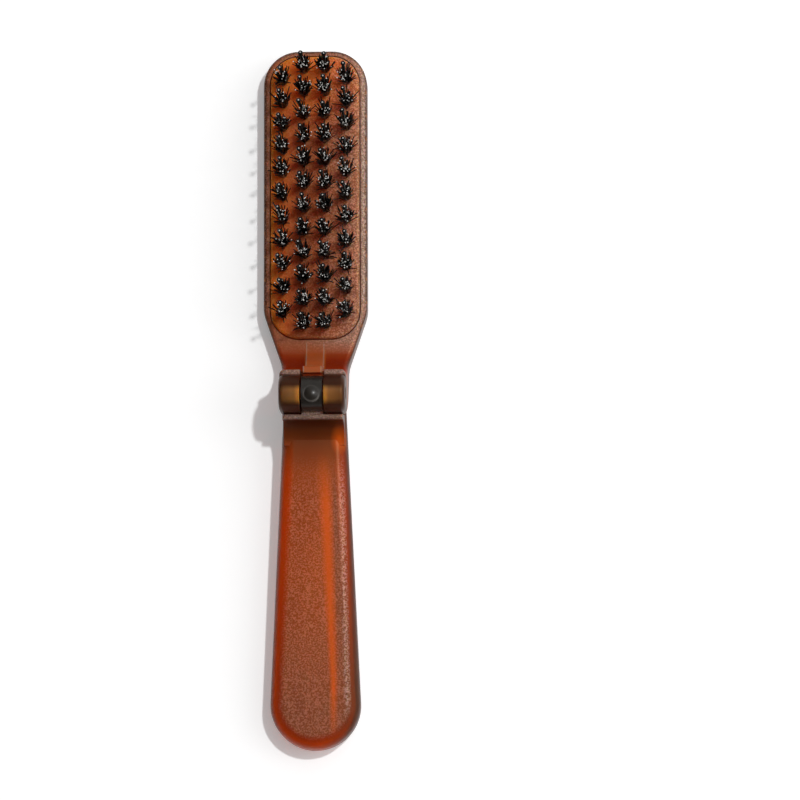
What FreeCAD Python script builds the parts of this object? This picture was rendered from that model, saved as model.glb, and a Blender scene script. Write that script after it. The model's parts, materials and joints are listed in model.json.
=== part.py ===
import FreeCAD
import Part
import Sketcher
import math
import os

# Folding travel brush, open and lying on its back with the bristles up.
# Millimetres. X runs across the brush, +Y towards the tip of the head, +Z up from the table.
# Sketches measure Y from the hinge axis. Every piece is then moved along Y together, so that the
# origin lies on the table under the middle of the open brush.

SIZES = [
    ("head_reach", 91.2, "pivot to the tip of the head"),
    ("handle_reach", 88.7, "pivot to the end of the handle"),
    ("pivot_height", 20.6, "pivot above the table"),
    ("head_width", 26.5, "width of the head"),
    ("head_thickness", 7.3, "back of the head to its face"),
    ("tip_radius", 9.0, "corners of the tip, seen from above"),
    ("neck_angle", 19.0, "slope of the neck's sides, in degrees"),
    ("neck_radius", 10.0, "the two bends of the neck's sides, seen from above"),
    ("neck_start", 7.1, "pivot to where the neck starts to widen"),
    ("hinge_width", 16.8, "over both ears"),
    ("ear_radius", 4.75, "round ends of the ears"),
    ("elbow_radius", 17.0, "outer bend from the back of the head up to the ears"),
    ("neck_fillet", 7.5, "inner bend from the face of the head up to the ears"),
    ("neck_wall", 6.1, "pivot to the inner wall of the neck"),
    ("neck_lip", 0.6, "top of the neck's lip and of the rib above the pivot"),
    ("head_rounding", 1.2, "edges of the head"),
    ("rib_width", 4.7, "rib between the ears"),
    ("rib_proud", 0.9, "rib in front of the neck's inner wall"),
    ("rib_root", 1.2, "foot of the rib below the face of the head"),
    ("rib_fillet", 8.5, "bend of the rib down to the face of the head"),
    ("plate_width", 22.8, "bristle plate"),
    ("plate_start", 16.1, "pivot to the near end of the bristle plate"),
    ("plate_corner", 7.4, "corners of the bristle plate, seen from above"),
    ("plate_margin", 1.6, "tip of the head to the plate"),
    ("plate_proud", 0.7, "plate above the face of the head"),
    ("plate_rounding", 0.7, "upper edge of the plate"),
    ("plate_gap", 0.25, "joint line round the plate"),
    ("tray_floor", 2.6, "wall under the plate"),
    ("column_margin", 3.3, "sides of the plate to the outer columns"),
    ("row_margin", 3.475, "ends of the plate to the end tufts of the inner columns"),
    ("inner_count", 12.0, "tufts in each inner column, one more than in an outer one"),
    ("tuft_hole", 2.1, "diameter of a tuft hole"),
    ("tuft_hole_depth", 4.0, "depth of a tuft hole"),
    ("tuft_length", 9.5, "bristles above the plate"),
    ("tuft_spread", 3.9, "tips of a tuft, across"),
    ("tuft_fit", 0.06, "play between a tuft or anchor and its hole, or a tuft and its pin"),
    ("pin_length", 18.4, "ball pin above the plate"),
    ("pin_shaft", 0.8, "shaft of a ball pin, across"),
    ("pin_ball", 1.35, "ball of a ball pin, across"),
    ("anchor_height", 1.2, "flat wire anchor under a tuft"),
    ("anchor_wire", 0.4, "thickness of an anchor"),
    ("handle_face", 9.0, "pivot down to the face of the handle at the shoulder"),
    ("handle_face_end", 10.6, "pivot down to the face of the handle at its end"),
    ("handle_back", 16.6, "pivot down to the back of the handle at the shoulder"),
    ("shoulder_width", 16.2, "handle at the shoulder"),
    ("handle_end_radius", 11.4, "round end of the handle, seen from above"),
    ("handle_rounding", 3.2, "long edges of the handle"),
    ("shoulder_back", 9.5, "pivot to where the back of the handle starts"),
    ("shoulder_drop", 12.3, "pivot down to the lower edge of the shoulder's front"),
    ("shoulder_gap", 0.35, "ears and elbow to the shoulder"),
    ("lip_thickness", 1.25, "wall of the shoulder at its lip"),
    ("lip_drop", 0.8, "pivot down to the top of the lip"),
    ("lip_width", 15.3, "lip and scoop of the shoulder"),
    ("lip_rounding", 0.5, "edges of the lip"),
    ("scoop_radius", 5.5, "bend from the lip down to the face of the handle"),
    ("scoop_dip", 0.15, "end of that bend below the face"),
    ("tongue_width", 5.4, "tongue of the handle"),
    ("tongue_play", 0.35, "tongue to ears and to the end of their slot"),
    ("slot_step", 2.4, "pivot down to where the slot between the ears narrows"),
    ("slot_floor_gap", 1.2, "lower end of the tongue's front to the end of its slot"),
    ("tongue_front", 4.4, "pivot to the front of the tongue"),
    ("tongue_bend", 13.8, "curved front of the tongue"),
    ("knuckle_radius", 2.8, "eye of the tongue round the hinge pins"),
    ("hinge_pin", 3.4, "diameter of the hinge pins"),
    ("hinge_pin_inset", 0.15, "pin ends below the outside of the ears"),
    ("hinge_pin_dimple", 2.2, "mouth of the dimple in the end of a hinge pin"),
    ("hinge_pin_split", 3.0, "between the two hinge pins"),
    ("ear_fit", 0.02, "hinge pin in its ear, all round"),
    ("running_fit", 0.06, "moving pins and stems in their holes, all round"),
    ("button_travel", 0.9, "press of the button"),
    ("button_width", 5.2, "button across"),
    ("button_gap", 0.15, "pressed button to the tongue under it"),
    ("button_offset", 0.6, "button axis behind the pivot"),
    ("dome_width", 4.2, "round dome of the button"),
    ("dome_top", 4.95, "crown of the dome above the pivot"),
    ("dome_edge", 4.15, "edge of the dome above the pivot"),
    ("stem_width", 2.3, "stem of the button"),
    ("stem_drop", 5.95, "pivot down to the end of the stem"),
    ("lock_pin_width", 1.3, "lock pin"),
    ("lock_pin_drop", 4.9, "pivot down to the lock pin"),
    ("lock_pin_proud", 0.2, "ends of the lock pin outside the tongue"),
    ("lock_track_depth", 0.5, "track of the lock pin in each ear"),
    ("spring_well", 8.35, "pivot down to the floor of the spring's well"),
    ("spring_wire", 0.3, "wire of the spring"),
    ("spring_turns", 2.75, "turns of the spring"),
    ("spring_width", 2.1, "spring across"),
]

doc = FreeCAD.newDocument("folding_brush")
sheet = doc.addObject("Spreadsheet::Sheet", "Sizes")
for row, (alias, number, note) in enumerate(SIZES, start=1):
    sheet.set(f"A{row}", alias)
    sheet.set(f"B{row}", str(number))
    sheet.setAlias(f"B{row}", alias)
    sheet.set(f"C{row}", note)
doc.recompute()


class Size:
    """A size worked out from the sheet, held as a number and as the expression that gives it."""

    def __init__(self, value, expression):
        self.value = value
        self.expression = expression

    def __add__(self, other):
        other = as_size(other)
        return Size(self.value + other.value, f"({self.expression} + {other.expression})")

    def __sub__(self, other):
        other = as_size(other)
        return Size(self.value - other.value, f"({self.expression} - {other.expression})")

    def __mul__(self, other):
        other = as_size(other)
        return Size(self.value * other.value, f"({self.expression} * {other.expression})")

    def __truediv__(self, other):
        other = as_size(other)
        return Size(self.value / other.value, f"({self.expression} / {other.expression})")

    def __neg__(self):
        return Size(-self.value, f"(-1 * {self.expression})")


def as_size(number):
    """A plain number as a Size."""
    return number if isinstance(number, Size) else Size(float(number), str(number))


def size(alias):
    """One size of the sheet."""
    return Size(float(sheet.get(alias)), f"Sizes.{alias}")


def root(area):
    """Side of a square of this area."""
    return Size(math.sqrt(area.value), f"sqrt({area.expression})")


def sine(angle):
    return Size(math.sin(math.radians(angle.value)), f"sin({angle.expression})")


def cosine(angle):
    return Size(math.cos(math.radians(angle.value)), f"cos({angle.expression})")


def beside_arc(radius, offset):
    """Half chord of a circle at this distance from its centre."""
    return root(radius * radius - offset * offset)


# Sketches and features

def new_body(name):
    """An empty body whose label names its file."""
    body = doc.addObject("PartDesign::Body", name)
    body.Label = name
    body.setExpression("Placement.Base.y", middle_to_pivot().expression)
    return body


def middle_to_pivot():
    """Place of the hinge axis, from the middle of the open brush."""
    return (size("handle_reach") - size("head_reach")) / 2


def origin_feature(body, role):
    """One of the body's own origin planes or axes."""
    return next(item for item in body.Origin.OriginFeatures if item.Role == role)


def new_sketch(body, name, plane, lift=None):
    """A sketch on an origin plane of the body, moved along the plane's normal by lift."""
    sketch = body.newObject("Sketcher::SketchObject", name)
    sketch.AttachmentSupport = [(origin_feature(body, plane), "")]
    sketch.MapMode = "FlatFace"
    if lift is not None:
        sketch.setExpression("AttachmentOffset.Base.z", lift.expression)
    return sketch


def pin_coordinate(sketch, way, geometry, end, coordinate):
    """Hold one coordinate of a sketch point at a size."""
    if not isinstance(coordinate, Size):
        axis = -2 if way == "DistanceX" else -1
        sketch.addConstraint(Sketcher.Constraint("PointOnObject", geometry, end, axis))
        return
    index = sketch.addConstraint(Sketcher.Constraint(way, -1, 1, geometry, end, coordinate.value))
    sketch.setExpression(f"Constraints[{index}]", coordinate.expression)


def number_of(coordinate):
    """The number behind a coordinate; a bare 0 lies on an axis."""
    return coordinate.value if isinstance(coordinate, Size) else float(coordinate)


def add_loop(sketch, corners):
    """A closed loop. A corner is (x, y), or (x, y, radius, turn) where an arc leads to it.

    turn is 1 for an arc that bends left on the way to the corner and -1 for one that bends right.
    """
    segments = []
    for index, corner in enumerate(corners):
        start = FreeCAD.Vector(*(number_of(c) for c in corners[index - 1][:2]), 0)
        end = FreeCAD.Vector(*(number_of(c) for c in corner[:2]), 0)
        if len(corner) == 2:
            geometry = sketch.addGeometry(Part.LineSegment(start, end), False)
            segments.append((geometry, 1, 2))
            continue
        radius, turn = corner[2], corner[3]
        chord = end - start
        sideways = FreeCAD.Vector(-chord.y, chord.x, 0).normalize() * turn
        rise = math.sqrt(max(radius.value ** 2 - (chord.Length / 2) ** 2, 0.0))
        centre = (start + end) * 0.5 + sideways * rise
        first, last = (start, end) if turn > 0 else (end, start)
        angles = [math.atan2(p.y - centre.y, p.x - centre.x) for p in (first, last)]
        circle = Part.Circle(centre, FreeCAD.Vector(0, 0, 1), radius.value)
        geometry = sketch.addGeometry(Part.ArcOfCircle(circle, angles[0], angles[1]), False)
        segments.append((geometry, 1, 2) if turn > 0 else (geometry, 2, 1))
        held = sketch.addConstraint(Sketcher.Constraint("Radius", geometry, radius.value))
        sketch.setExpression(f"Constraints[{held}]", radius.expression)
    for index, (geometry, start, end) in enumerate(segments):
        following = segments[(index + 1) % len(segments)]
        sketch.addConstraint(Sketcher.Constraint("Coincident", geometry, end, following[0], following[1]))
        pin_coordinate(sketch, "DistanceX", geometry, end, corners[index][0])
        pin_coordinate(sketch, "DistanceY", geometry, end, corners[index][1])


def add_circle(sketch, x, y, radius):
    """A full circle."""
    centre = FreeCAD.Vector(number_of(x), number_of(y), 0)
    geometry = sketch.addGeometry(Part.Circle(centre, FreeCAD.Vector(0, 0, 1), radius.value), False)
    held = sketch.addConstraint(Sketcher.Constraint("Radius", geometry, radius.value))
    sketch.setExpression(f"Constraints[{held}]", radius.expression)
    pin_coordinate(sketch, "DistanceX", geometry, 3, x)
    pin_coordinate(sketch, "DistanceY", geometry, 3, y)


def pad(body, name, sketch, length, symmetric=False):
    """Material on one side of a sketch, or half on each side of it."""
    feature = body.newObject("PartDesign::Pad", name)
    feature.Profile = sketch
    feature.SideType = "Symmetric" if symmetric else "One side"
    feature.setExpression("Length", length.expression)
    return feature


def pocket(body, name, sketch, length, symmetric=False, upwards=False):
    """A cut through a sketch's loops."""
    before = solid_of(body).Volume
    feature = body.newObject("PartDesign::Pocket", name)
    feature.Profile = sketch
    feature.SideType = "Symmetric" if symmetric else "One side"
    feature.Reversed = upwards
    feature.setExpression("Length", length.expression)
    if solid_of(body).Volume >= before:
        raise ValueError(f"{name} cuts nothing")
    return feature


def solid_of(body):
    """The body's shape so far. A feature that failed is named."""
    doc.recompute()
    for item in body.Group:
        if "Invalid" in item.State or "Error" in item.State:
            raise ValueError(f"{item.Name} failed: {item.getStatusString()}")
    return body.Shape


def round_edges(body, name, radius, wanted):
    """Fillet the edges of the body for which wanted(edge) holds."""
    shape = solid_of(body)
    names = [f"Edge{i}" for i, edge in enumerate(shape.Edges, start=1) if wanted(edge)]
    if not names:
        raise ValueError(f"{name} finds no edges")
    base = body.Tip
    feature = body.newObject("PartDesign::Fillet", name)
    feature.Base = (base, names)
    feature.setExpression("Radius", radius.expression)
    return feature


def frame_loop(width, low, high):
    """A rectangle about the Y axis."""
    return [(width, low), (width, high), (-width, high), (-width, low)]


def rounded_loop(width, low, high, corner):
    """A rectangle about the Y axis with round corners. width is half of the whole."""
    inside = width - corner
    return [
        (width, low + corner, corner, 1),
        (width, high - corner),
        (inside, high, corner, 1),
        (-inside, high),
        (-width, high - corner, corner, 1),
        (-width, low + corner),
        (-inside, low, corner, 1),
        (inside, low),
    ]


# Sizes that several pieces share

pivot = size("pivot_height")
ear = size("ear_radius")
elbow = size("elbow_radius")
half_hinge = size("hinge_width") / 2
half_head = size("head_width") / 2
face = size("head_thickness")
plate_top = face + size("plate_proud")
plate_end = size("head_reach") - size("plate_margin")
plate_start = size("plate_start")
tuft_pitch = (plate_end - plate_start - size("row_margin") * 2) / (size("inner_count") - 1)
column_pitch = (size("plate_width") - size("column_margin") * 2) / 3
COUNTS = {"inner": size("inner_count"), "outer": size("inner_count") - 1}
slot_width = size("tongue_width") + size("tongue_play") * 2
tongue_bend = size("tongue_bend")
tongue_centre = size("tongue_front") - tongue_bend
shoulder_face = ear + size("shoulder_gap")
press_room = size("button_travel") + size("button_gap")
button_y = -size("button_offset")
clear_margin = ear


def tongue_front_at(drop, play):
    """Front of the tongue at this drop below the pivot, with play in front of it."""
    return tongue_centre + beside_arc(tongue_bend + play, drop)


def make_head_frame():
    """Tray, elbow, ears and rib in one moulding."""
    body = new_body("head_frame")
    reach = size("head_reach")
    bend = size("neck_fillet")
    wall = size("neck_wall")
    lip_top = pivot + size("neck_lip")
    lip_bend = size("lip_rounding")
    side = new_sketch(body, "head_side", "YZ_Plane")
    add_loop(side, [
        (elbow - ear, 0, elbow, 1),
        (reach, 0),
        (reach, face),
        (wall + bend, face),
        (wall, face + bend, bend, -1),
        (wall, lip_top - lip_bend),
        (wall - lip_bend, lip_top, lip_bend, 1),
        (beside_arc(ear, size("neck_lip")), lip_top),
        (0, pivot + ear, ear, 1),
        (-ear, pivot, ear, 1),
        (-ear, elbow),
    ])
    pad(body, "head_block", side, size("head_width"), symmetric=True)

    angle = size("neck_angle")
    neck = size("neck_radius")
    start = size("neck_start")
    inset = neck * (as_size(1) - cosine(angle))
    rise = neck * sine(angle)
    slope = (half_head - half_hinge - inset * 2) * cosine(angle) / sine(angle)
    wide = start + rise * 2 + slope
    tip = size("tip_radius")
    behind = -(ear + clear_margin)
    plan = new_sketch(body, "head_plan", "XY_Plane")
    add_loop(plan, frame_loop(size("head_width"), behind - clear_margin, reach + clear_margin))
    add_loop(plan, [
        (half_hinge, behind),
        (half_hinge, start),
        (half_hinge + inset, start + rise, neck, -1),
        (half_head - inset, wide - rise),
        (half_head, wide, neck, 1),
        (half_head, reach - tip),
        (half_head - tip, reach, tip, 1),
        (tip - half_head, reach),
        (-half_head, reach - tip, tip, 1),
        (-half_head, wide),
        (inset - half_head, wide - rise, neck, 1),
        (-half_hinge - inset, start + rise),
        (-half_hinge, start, neck, -1),
        (-half_hinge, behind),
    ])
    pocket(body, "head_outline", plan, pivot + ear * 2, upwards=True)
    nearly_flat = 0.001
    round_edges(body, "head_edges", size("head_rounding"),
                lambda edge: edge.BoundBox.ZLength < nearly_flat
                and edge.BoundBox.ZMax < face.value + nearly_flat
                and edge.BoundBox.YLength > nearly_flat)

    rib_front = wall + size("rib_proud")
    play = size("tongue_play")
    slot_step = size("slot_step")
    slot_low = size("shoulder_drop") + size("slot_floor_gap")
    slot = new_sketch(body, "slot_side", "YZ_Plane")
    add_loop(slot, [
        (rib_front, pivot + ear * 2),
        (-(ear + clear_margin), pivot + ear * 2),
        (-(ear + clear_margin), pivot - slot_low),
        (tongue_front_at(slot_low, play), pivot - slot_low),
        (tongue_front_at(slot_step, play), pivot - slot_step, tongue_bend + play, 1),
        (rib_front, pivot - slot_step),
    ])
    pocket(body, "slot", slot, slot_width, symmetric=True)

    rib_back = size("dome_top") + size("tongue_play")
    rib_bend = size("rib_fillet")
    rib_root = size("rib_root")
    rib = new_sketch(body, "rib_side", "YZ_Plane")
    add_loop(rib, [
        (rib_front - lip_bend, lip_top, lip_bend, 1),
        (rib_back, lip_top),
        (rib_back, pivot - size("handle_face")),
        (rib_front + rib_root * 2, face - rib_root),
        (rib_front + rib_bend, face - rib_root),
        (rib_front + rib_bend, face),
        (rib_front, face + rib_bend, rib_bend, -1),
        (rib_front, lip_top - lip_bend),
    ])
    pad(body, "rib", rib, size("rib_width"), symmetric=True)
    tray = new_sketch(body, "tray_outline", "XY_Plane", size("tray_floor"))
    gap = size("plate_gap")
    add_loop(tray, rounded_loop(size("plate_width") / 2 + gap, plate_start - gap, plate_end + gap,
                                size("plate_corner") + gap))
    pocket(body, "tray", tray, pivot, upwards=True)

    bores = new_sketch(body, "hinge_bore_side", "YZ_Plane")
    add_circle(bores, 0, pivot, size("hinge_pin") / 2 + size("ear_fit"))
    pocket(body, "hinge_bores", bores, size("head_width"), symmetric=True)

    track_width = slot_width + size("lock_track_depth") * 2
    half_track = size("lock_pin_width") / 2 + size("button_gap")
    catch = new_sketch(body, "lock_catch_side", "YZ_Plane")
    add_loop(catch, upright_slot(half_track))
    pocket(body, "lock_catch", catch, track_width, symmetric=True)
    pressed = size("lock_pin_drop") + size("button_travel")
    reach_of_lock = root(pressed * pressed + button_y * button_y)
    inner = reach_of_lock - half_track
    outer = reach_of_lock + half_track
    track = new_sketch(body, "lock_track_side", "YZ_Plane")
    add_loop(track, [
        (button_y * inner / reach_of_lock, pivot - pressed * inner / reach_of_lock),
        (-inner, pivot, inner, -1),
        (-outer, pivot),
        (button_y * outer / reach_of_lock, pivot - pressed * outer / reach_of_lock, outer, 1),
    ])
    pocket(body, "lock_track", track, track_width, symmetric=True)
    return body


def upright_slot(radius):
    """Loop of the lock pin's path when the button is pressed."""
    high = pivot - size("lock_pin_drop")
    low = high - size("button_travel")
    return [
        (button_y + radius, high),
        (button_y, high + radius, radius, 1),
        (button_y - radius, high, radius, 1),
        (button_y - radius, low),
        (button_y, low - radius, radius, 1),
        (button_y + radius, low, radius, 1),
    ]


def make_bristle_plate():
    """Pad that carries the tufts, seated in the tray."""
    body = new_body("bristle_plate")
    floor = size("tray_floor")
    outline = new_sketch(body, "plate_outline", "XY_Plane", floor)
    add_loop(outline, rounded_loop(size("plate_width") / 2, plate_start, plate_end, size("plate_corner")))
    pad(body, "plate", outline, plate_top - floor)
    round_edges(body, "plate_edge", size("plate_rounding"),
                lambda edge: edge.BoundBox.ZMin > plate_top.value - size("plate_rounding").value)
    for row, columns in (("inner", 0.5), ("outer", 1.5)):
        holes = new_sketch(body, f"{row}_hole_pair", "XY_Plane", plate_top)
        for side in (-1, 1):
            x = column_pitch * (columns * side)
            add_loop(holes, polygon(x, first_tuft(row), size("tuft_hole") / 2))
        pair = pocket(body, f"{row}_holes", holes, size("tuft_hole_depth"))
        repeat_along(body, f"{row}_rows", [pair], row)
    return body


ACROSS_FLATS = round(math.cos(math.pi / 6), 6)


def first_tuft(row):
    """Tuft nearest to the hinge in a column. Every column is centred on the plate."""
    return (plate_start + plate_end) / 2 - tuft_pitch * (COUNTS[row] - 1) / 2


def repeat_along(body, name, features, row):
    """Copies of the features along +Y, one tuft pitch apart."""
    pattern = body.newObject("PartDesign::LinearPattern", name)
    pattern.Originals = features
    pattern.Direction = (origin_feature(body, "Y_Axis"), [""])
    pattern.Mode = "Spacing"
    pattern.setExpression("Offset", tuft_pitch.expression)
    pattern.setExpression("Occurrences", COUNTS[row].expression)
    body.Tip = pattern


def polygon(x, y, radius, sides=6):
    """Loop of a regular polygon. radius reaches its corners. What repeats has few sides, to stay light."""
    corners = []
    for index in range(sides):
        angle = math.pi * 2 * (index + 0.5) / sides
        corners.append((x + radius * round(math.cos(angle), 6), y + radius * round(math.sin(angle), 6)))
    return corners


def stacked(body, name, x, y, levels):
    """A straight-sided loft through polygons, given as (height, radius) from the bottom up."""
    sketches = []
    for index, (height, radius) in enumerate(levels):
        sketch = new_sketch(body, f"{name}_{index}", "XY_Plane", height)
        add_loop(sketch, polygon(x, y, radius))
        sketches.append(sketch)
    loft = body.newObject("PartDesign::AdditiveLoft", name)
    loft.Profile = sketches[0]
    loft.Sections = sketches[1:]
    loft.Ruled = True
    return loft


def make_tufts(name, x, row):
    """One column of bristle tufts, each with a bore for its ball pin."""
    body = new_body(f"tufts_{name}")
    y = first_tuft(row)
    foot = size("tuft_hole") / 2 - size("tuft_fit")
    low = plate_top - size("tuft_hole_depth") + size("anchor_height")
    high = plate_top + size("tuft_length")
    root_outline = new_sketch(body, f"tuft_root_outline_{name}", "XY_Plane", low)
    add_loop(root_outline, polygon(x, y, foot))
    tuft_root = pad(body, f"tuft_root_{name}", root_outline, plate_top - low)
    tuft = stacked(body, f"tuft_{name}", x, y, [(plate_top, foot), (high, size("tuft_spread") / 2)])
    bore = new_sketch(body, f"tuft_bore_{name}", "XY_Plane", high)
    add_loop(bore, polygon(x, y, size("pin_shaft") / 2 + size("tuft_fit")))
    hollow = pocket(body, f"tuft_hollow_{name}", bore, high)
    repeat_along(body, f"tuft_rows_{name}", [tuft_root, tuft, hollow], row)
    return body


def make_ball_pins(name, x, row):
    """One column of nylon pins with ball ends."""
    body = new_body(f"ball_pins_{name}")
    low = plate_top - size("tuft_hole_depth") + size("anchor_height")
    high = plate_top + size("pin_length")
    shaft = size("pin_shaft") / 2
    ball = size("pin_ball") / 2
    levels = [
        (low, shaft),
        (high - ball * 2, shaft),
        (high - ball * 1.35, ball),
        (high - ball * 0.65, ball),
        (high, shaft),
    ]
    pin = stacked(body, f"ball_pin_{name}", x, first_tuft(row), levels)
    repeat_along(body, f"ball_pin_rows_{name}", [pin], row)
    return body


def make_anchors(name, x, row):
    """One column of the flat wires that hold the tufts down."""
    body = new_body(f"anchors_{name}")
    y = first_tuft(row)
    wire = size("anchor_wire") / 2
    half = size("tuft_hole") / 2 * ACROSS_FLATS - size("tuft_fit")
    outline = new_sketch(body, f"anchor_outline_{name}", "XY_Plane", plate_top - size("tuft_hole_depth"))
    add_loop(outline, [
        (x + half, y - wire),
        (x + half, y + wire),
        (x - half, y + wire),
        (x - half, y - wire),
    ])
    anchor = pad(body, f"anchor_{name}", outline, size("anchor_height"))
    repeat_along(body, f"anchor_rows_{name}", [anchor], row)
    return body


def shoulder_front(drop):
    """Front of the shoulder at this drop below the pivot, behind the ears and the elbow."""
    return elbow - ear - beside_arc(elbow + size("shoulder_gap"), drop - (pivot - elbow))


def make_handle():
    """Grip, shoulder with its lip, and tongue in one moulding."""
    body = new_body("handle")
    reach = size("handle_reach")
    nest = elbow + size("shoulder_gap")
    corner_y = shoulder_front(size("shoulder_drop"))
    corner_rise = size("handle_back") - size("shoulder_drop")
    back_start = -size("shoulder_back")
    run = reach + back_start
    fall = pivot - size("handle_back")
    chord_y = corner_y - back_start
    off_line = (corner_rise * run - chord_y * fall) / root(run * run + fall * fall)
    back_bend = (chord_y * chord_y + corner_rise * corner_rise) / (off_line * 2)
    side = new_sketch(body, "grip_side", "YZ_Plane")
    add_loop(side, [
        (0, pivot - size("handle_face")),
        (0, fall * reach / run),
        (-reach, 0),
        (-reach, pivot - size("handle_face_end")),
    ])
    pad(body, "grip_block", side, size("handle_end_radius") * 2, symmetric=True)

    half = size("shoulder_width") / 2
    end = size("handle_end_radius")
    middle = end - reach
    length = -shoulder_face - middle
    square = half * half + length * length
    along = root(square - end * end)
    touch_x = (end * end * half + end * along * length) / square
    touch_y = middle + (end * end * length - end * along * half) / square
    taper = (touch_x - half) / (-shoulder_face - touch_y)
    front_half = half - taper * (clear_margin + shoulder_face)
    plan = new_sketch(body, "handle_plan", "XY_Plane")
    add_loop(plan, frame_loop(end * 2, -reach - clear_margin, clear_margin * 2))
    add_loop(plan, [
        (front_half, clear_margin),
        (touch_x, touch_y),
        (0, -reach, end, -1),
        (-touch_x, touch_y, end, -1),
        (-front_half, clear_margin),
    ])
    pocket(body, "grip_outline", plan, pivot, upwards=True)
    long_enough = reach.value / 2
    round_edges(body, "grip_edges", size("handle_rounding"),
                lambda edge: edge.BoundBox.YLength > long_enough)

    front = new_sketch(body, "grip_front_side", "YZ_Plane")
    add_loop(front, [
        (clear_margin, pivot),
        (-shoulder_face, pivot),
        (-shoulder_face, elbow),
        (corner_y, pivot - size("shoulder_drop"), nest, 1),
        (back_start, fall, back_bend, -1),
        (back_start, -clear_margin),
        (clear_margin, -clear_margin),
    ])
    pocket(body, "grip_front", front, end * 2, symmetric=True)

    lip_back = -(shoulder_face + size("lip_thickness"))
    scoop = size("scoop_radius")
    scoop_end = lip_back - scoop
    face_slope = (size("handle_face_end") - size("handle_face")) / reach
    scoop_drop = size("handle_face") - face_slope * scoop_end + size("scoop_dip")
    buried = scoop_drop + size("lip_thickness")
    shoulder = new_sketch(body, "shoulder_side", "YZ_Plane")
    add_loop(shoulder, [
        (lip_back, pivot - size("lip_drop")),
        (-shoulder_face, pivot - size("lip_drop")),
        (-shoulder_face, elbow),
        (shoulder_front(buried), pivot - buried, nest, 1),
        (scoop_end, pivot - buried),
        (scoop_end, pivot - scoop_drop),
        (lip_back, pivot - scoop_drop + scoop, scoop, 1),
    ])
    pad(body, "shoulder", shoulder, size("lip_width"), symmetric=True)
    lip_low = (pivot - size("lip_drop")).value - size("lip_rounding").value / 2
    round_edges(body, "lip_edges", size("lip_rounding"), lambda edge: edge.BoundBox.ZMin > lip_low)

    tongue = new_sketch(body, "tongue_side", "YZ_Plane")
    in_lip = -(shoulder_face + size("lip_thickness") / 2)
    none = as_size(0)
    add_loop(tongue, [
        (tongue_front_at(press_room, none), pivot - press_room),
        (tongue_front_at(size("shoulder_drop"), none), pivot - size("shoulder_drop"), tongue_bend, -1),
        (in_lip, pivot - size("shoulder_drop")),
        (in_lip, pivot - press_room),
    ])
    pad(body, "tongue", tongue, size("tongue_width"), symmetric=True)
    eye = new_sketch(body, "eye_side", "YZ_Plane")
    add_circle(eye, 0, pivot, size("knuckle_radius"))
    pad(body, "eye", eye, size("tongue_width"), symmetric=True)

    bore = new_sketch(body, "hinge_bore_side", "YZ_Plane")
    add_circle(bore, 0, pivot, size("hinge_pin") / 2 + size("running_fit"))
    pocket(body, "hinge_bore", bore, slot_width, symmetric=True)
    well = new_sketch(body, "button_well", "XY_Plane", pivot + ear)
    add_circle(well, 0, button_y, size("stem_width") / 2 + size("running_fit"))
    pocket(body, "spring_well", well, ear + size("spring_well"))
    lock = new_sketch(body, "lock_slot_side", "YZ_Plane")
    add_loop(lock, upright_slot(size("lock_pin_width") / 2 + size("running_fit")))
    pocket(body, "lock_slot", lock, slot_width, symmetric=True)
    return body


def make_release_button():
    """Domed cap over the eye of the tongue, with the stem that carries the lock pin."""
    body = new_body("release_button")
    front = size("tongue_front")
    inside = size("knuckle_radius") + size("button_gap")
    raised = pivot + size("button_travel")
    cap = new_sketch(body, "cap_side", "YZ_Plane")
    add_loop(cap, [
        (front, pivot),
        (0, pivot + front, front, 1),
        (-front, pivot, front, 1),
    ])
    pad(body, "cap", cap, size("button_width"), symmetric=True)

    half_dome = size("dome_width") / 2
    dome_rise = size("dome_top") - size("dome_edge")
    dome_bend = (half_dome * half_dome + dome_rise * dome_rise) / (dome_rise * 2)
    dome_side = new_sketch(body, "dome_side", "XZ_Plane", size("button_offset"))
    add_loop(dome_side, [
        (0, raised),
        (half_dome, raised),
        (half_dome, pivot + size("dome_edge")),
        (0, pivot + size("dome_top"), dome_bend, 1),
    ])
    dome = body.newObject("PartDesign::Revolution", "dome")
    dome.Profile = dome_side
    dome.ReferenceAxis = (dome_side, ["V_Axis"])

    hollow = new_sketch(body, "cap_hollow_side", "YZ_Plane")
    add_loop(hollow, [
        (inside, pivot - front),
        (inside, raised),
        (0, raised + inside, inside, 1),
        (-inside, raised, inside, 1),
        (-inside, pivot - front),
    ])
    pocket(body, "cap_hollow", hollow, slot_width, symmetric=True)

    foot = pivot - size("stem_drop")
    stem = new_sketch(body, "stem_outline", "XY_Plane", foot)
    add_circle(stem, 0, button_y, size("stem_width") / 2)
    pad(body, "stem", stem, raised + inside - foot)
    hole = new_sketch(body, "lock_hole_side", "YZ_Plane")
    lock_bore = size("lock_pin_width") / 2 + size("ear_fit")
    add_circle(hole, button_y, pivot - size("lock_pin_drop"), lock_bore)
    pocket(body, "lock_hole", hole, slot_width, symmetric=True)
    return body


def make_lock_pin():
    """Cross pin through the stem of the button."""
    body = new_body("lock_pin")
    outline = new_sketch(body, "lock_pin_side", "YZ_Plane")
    add_circle(outline, button_y, pivot - size("lock_pin_drop"), size("lock_pin_width") / 2)
    pad(body, "lock_pin_bar", outline, size("tongue_width") + size("lock_pin_proud") * 2, symmetric=True)
    return body


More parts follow.
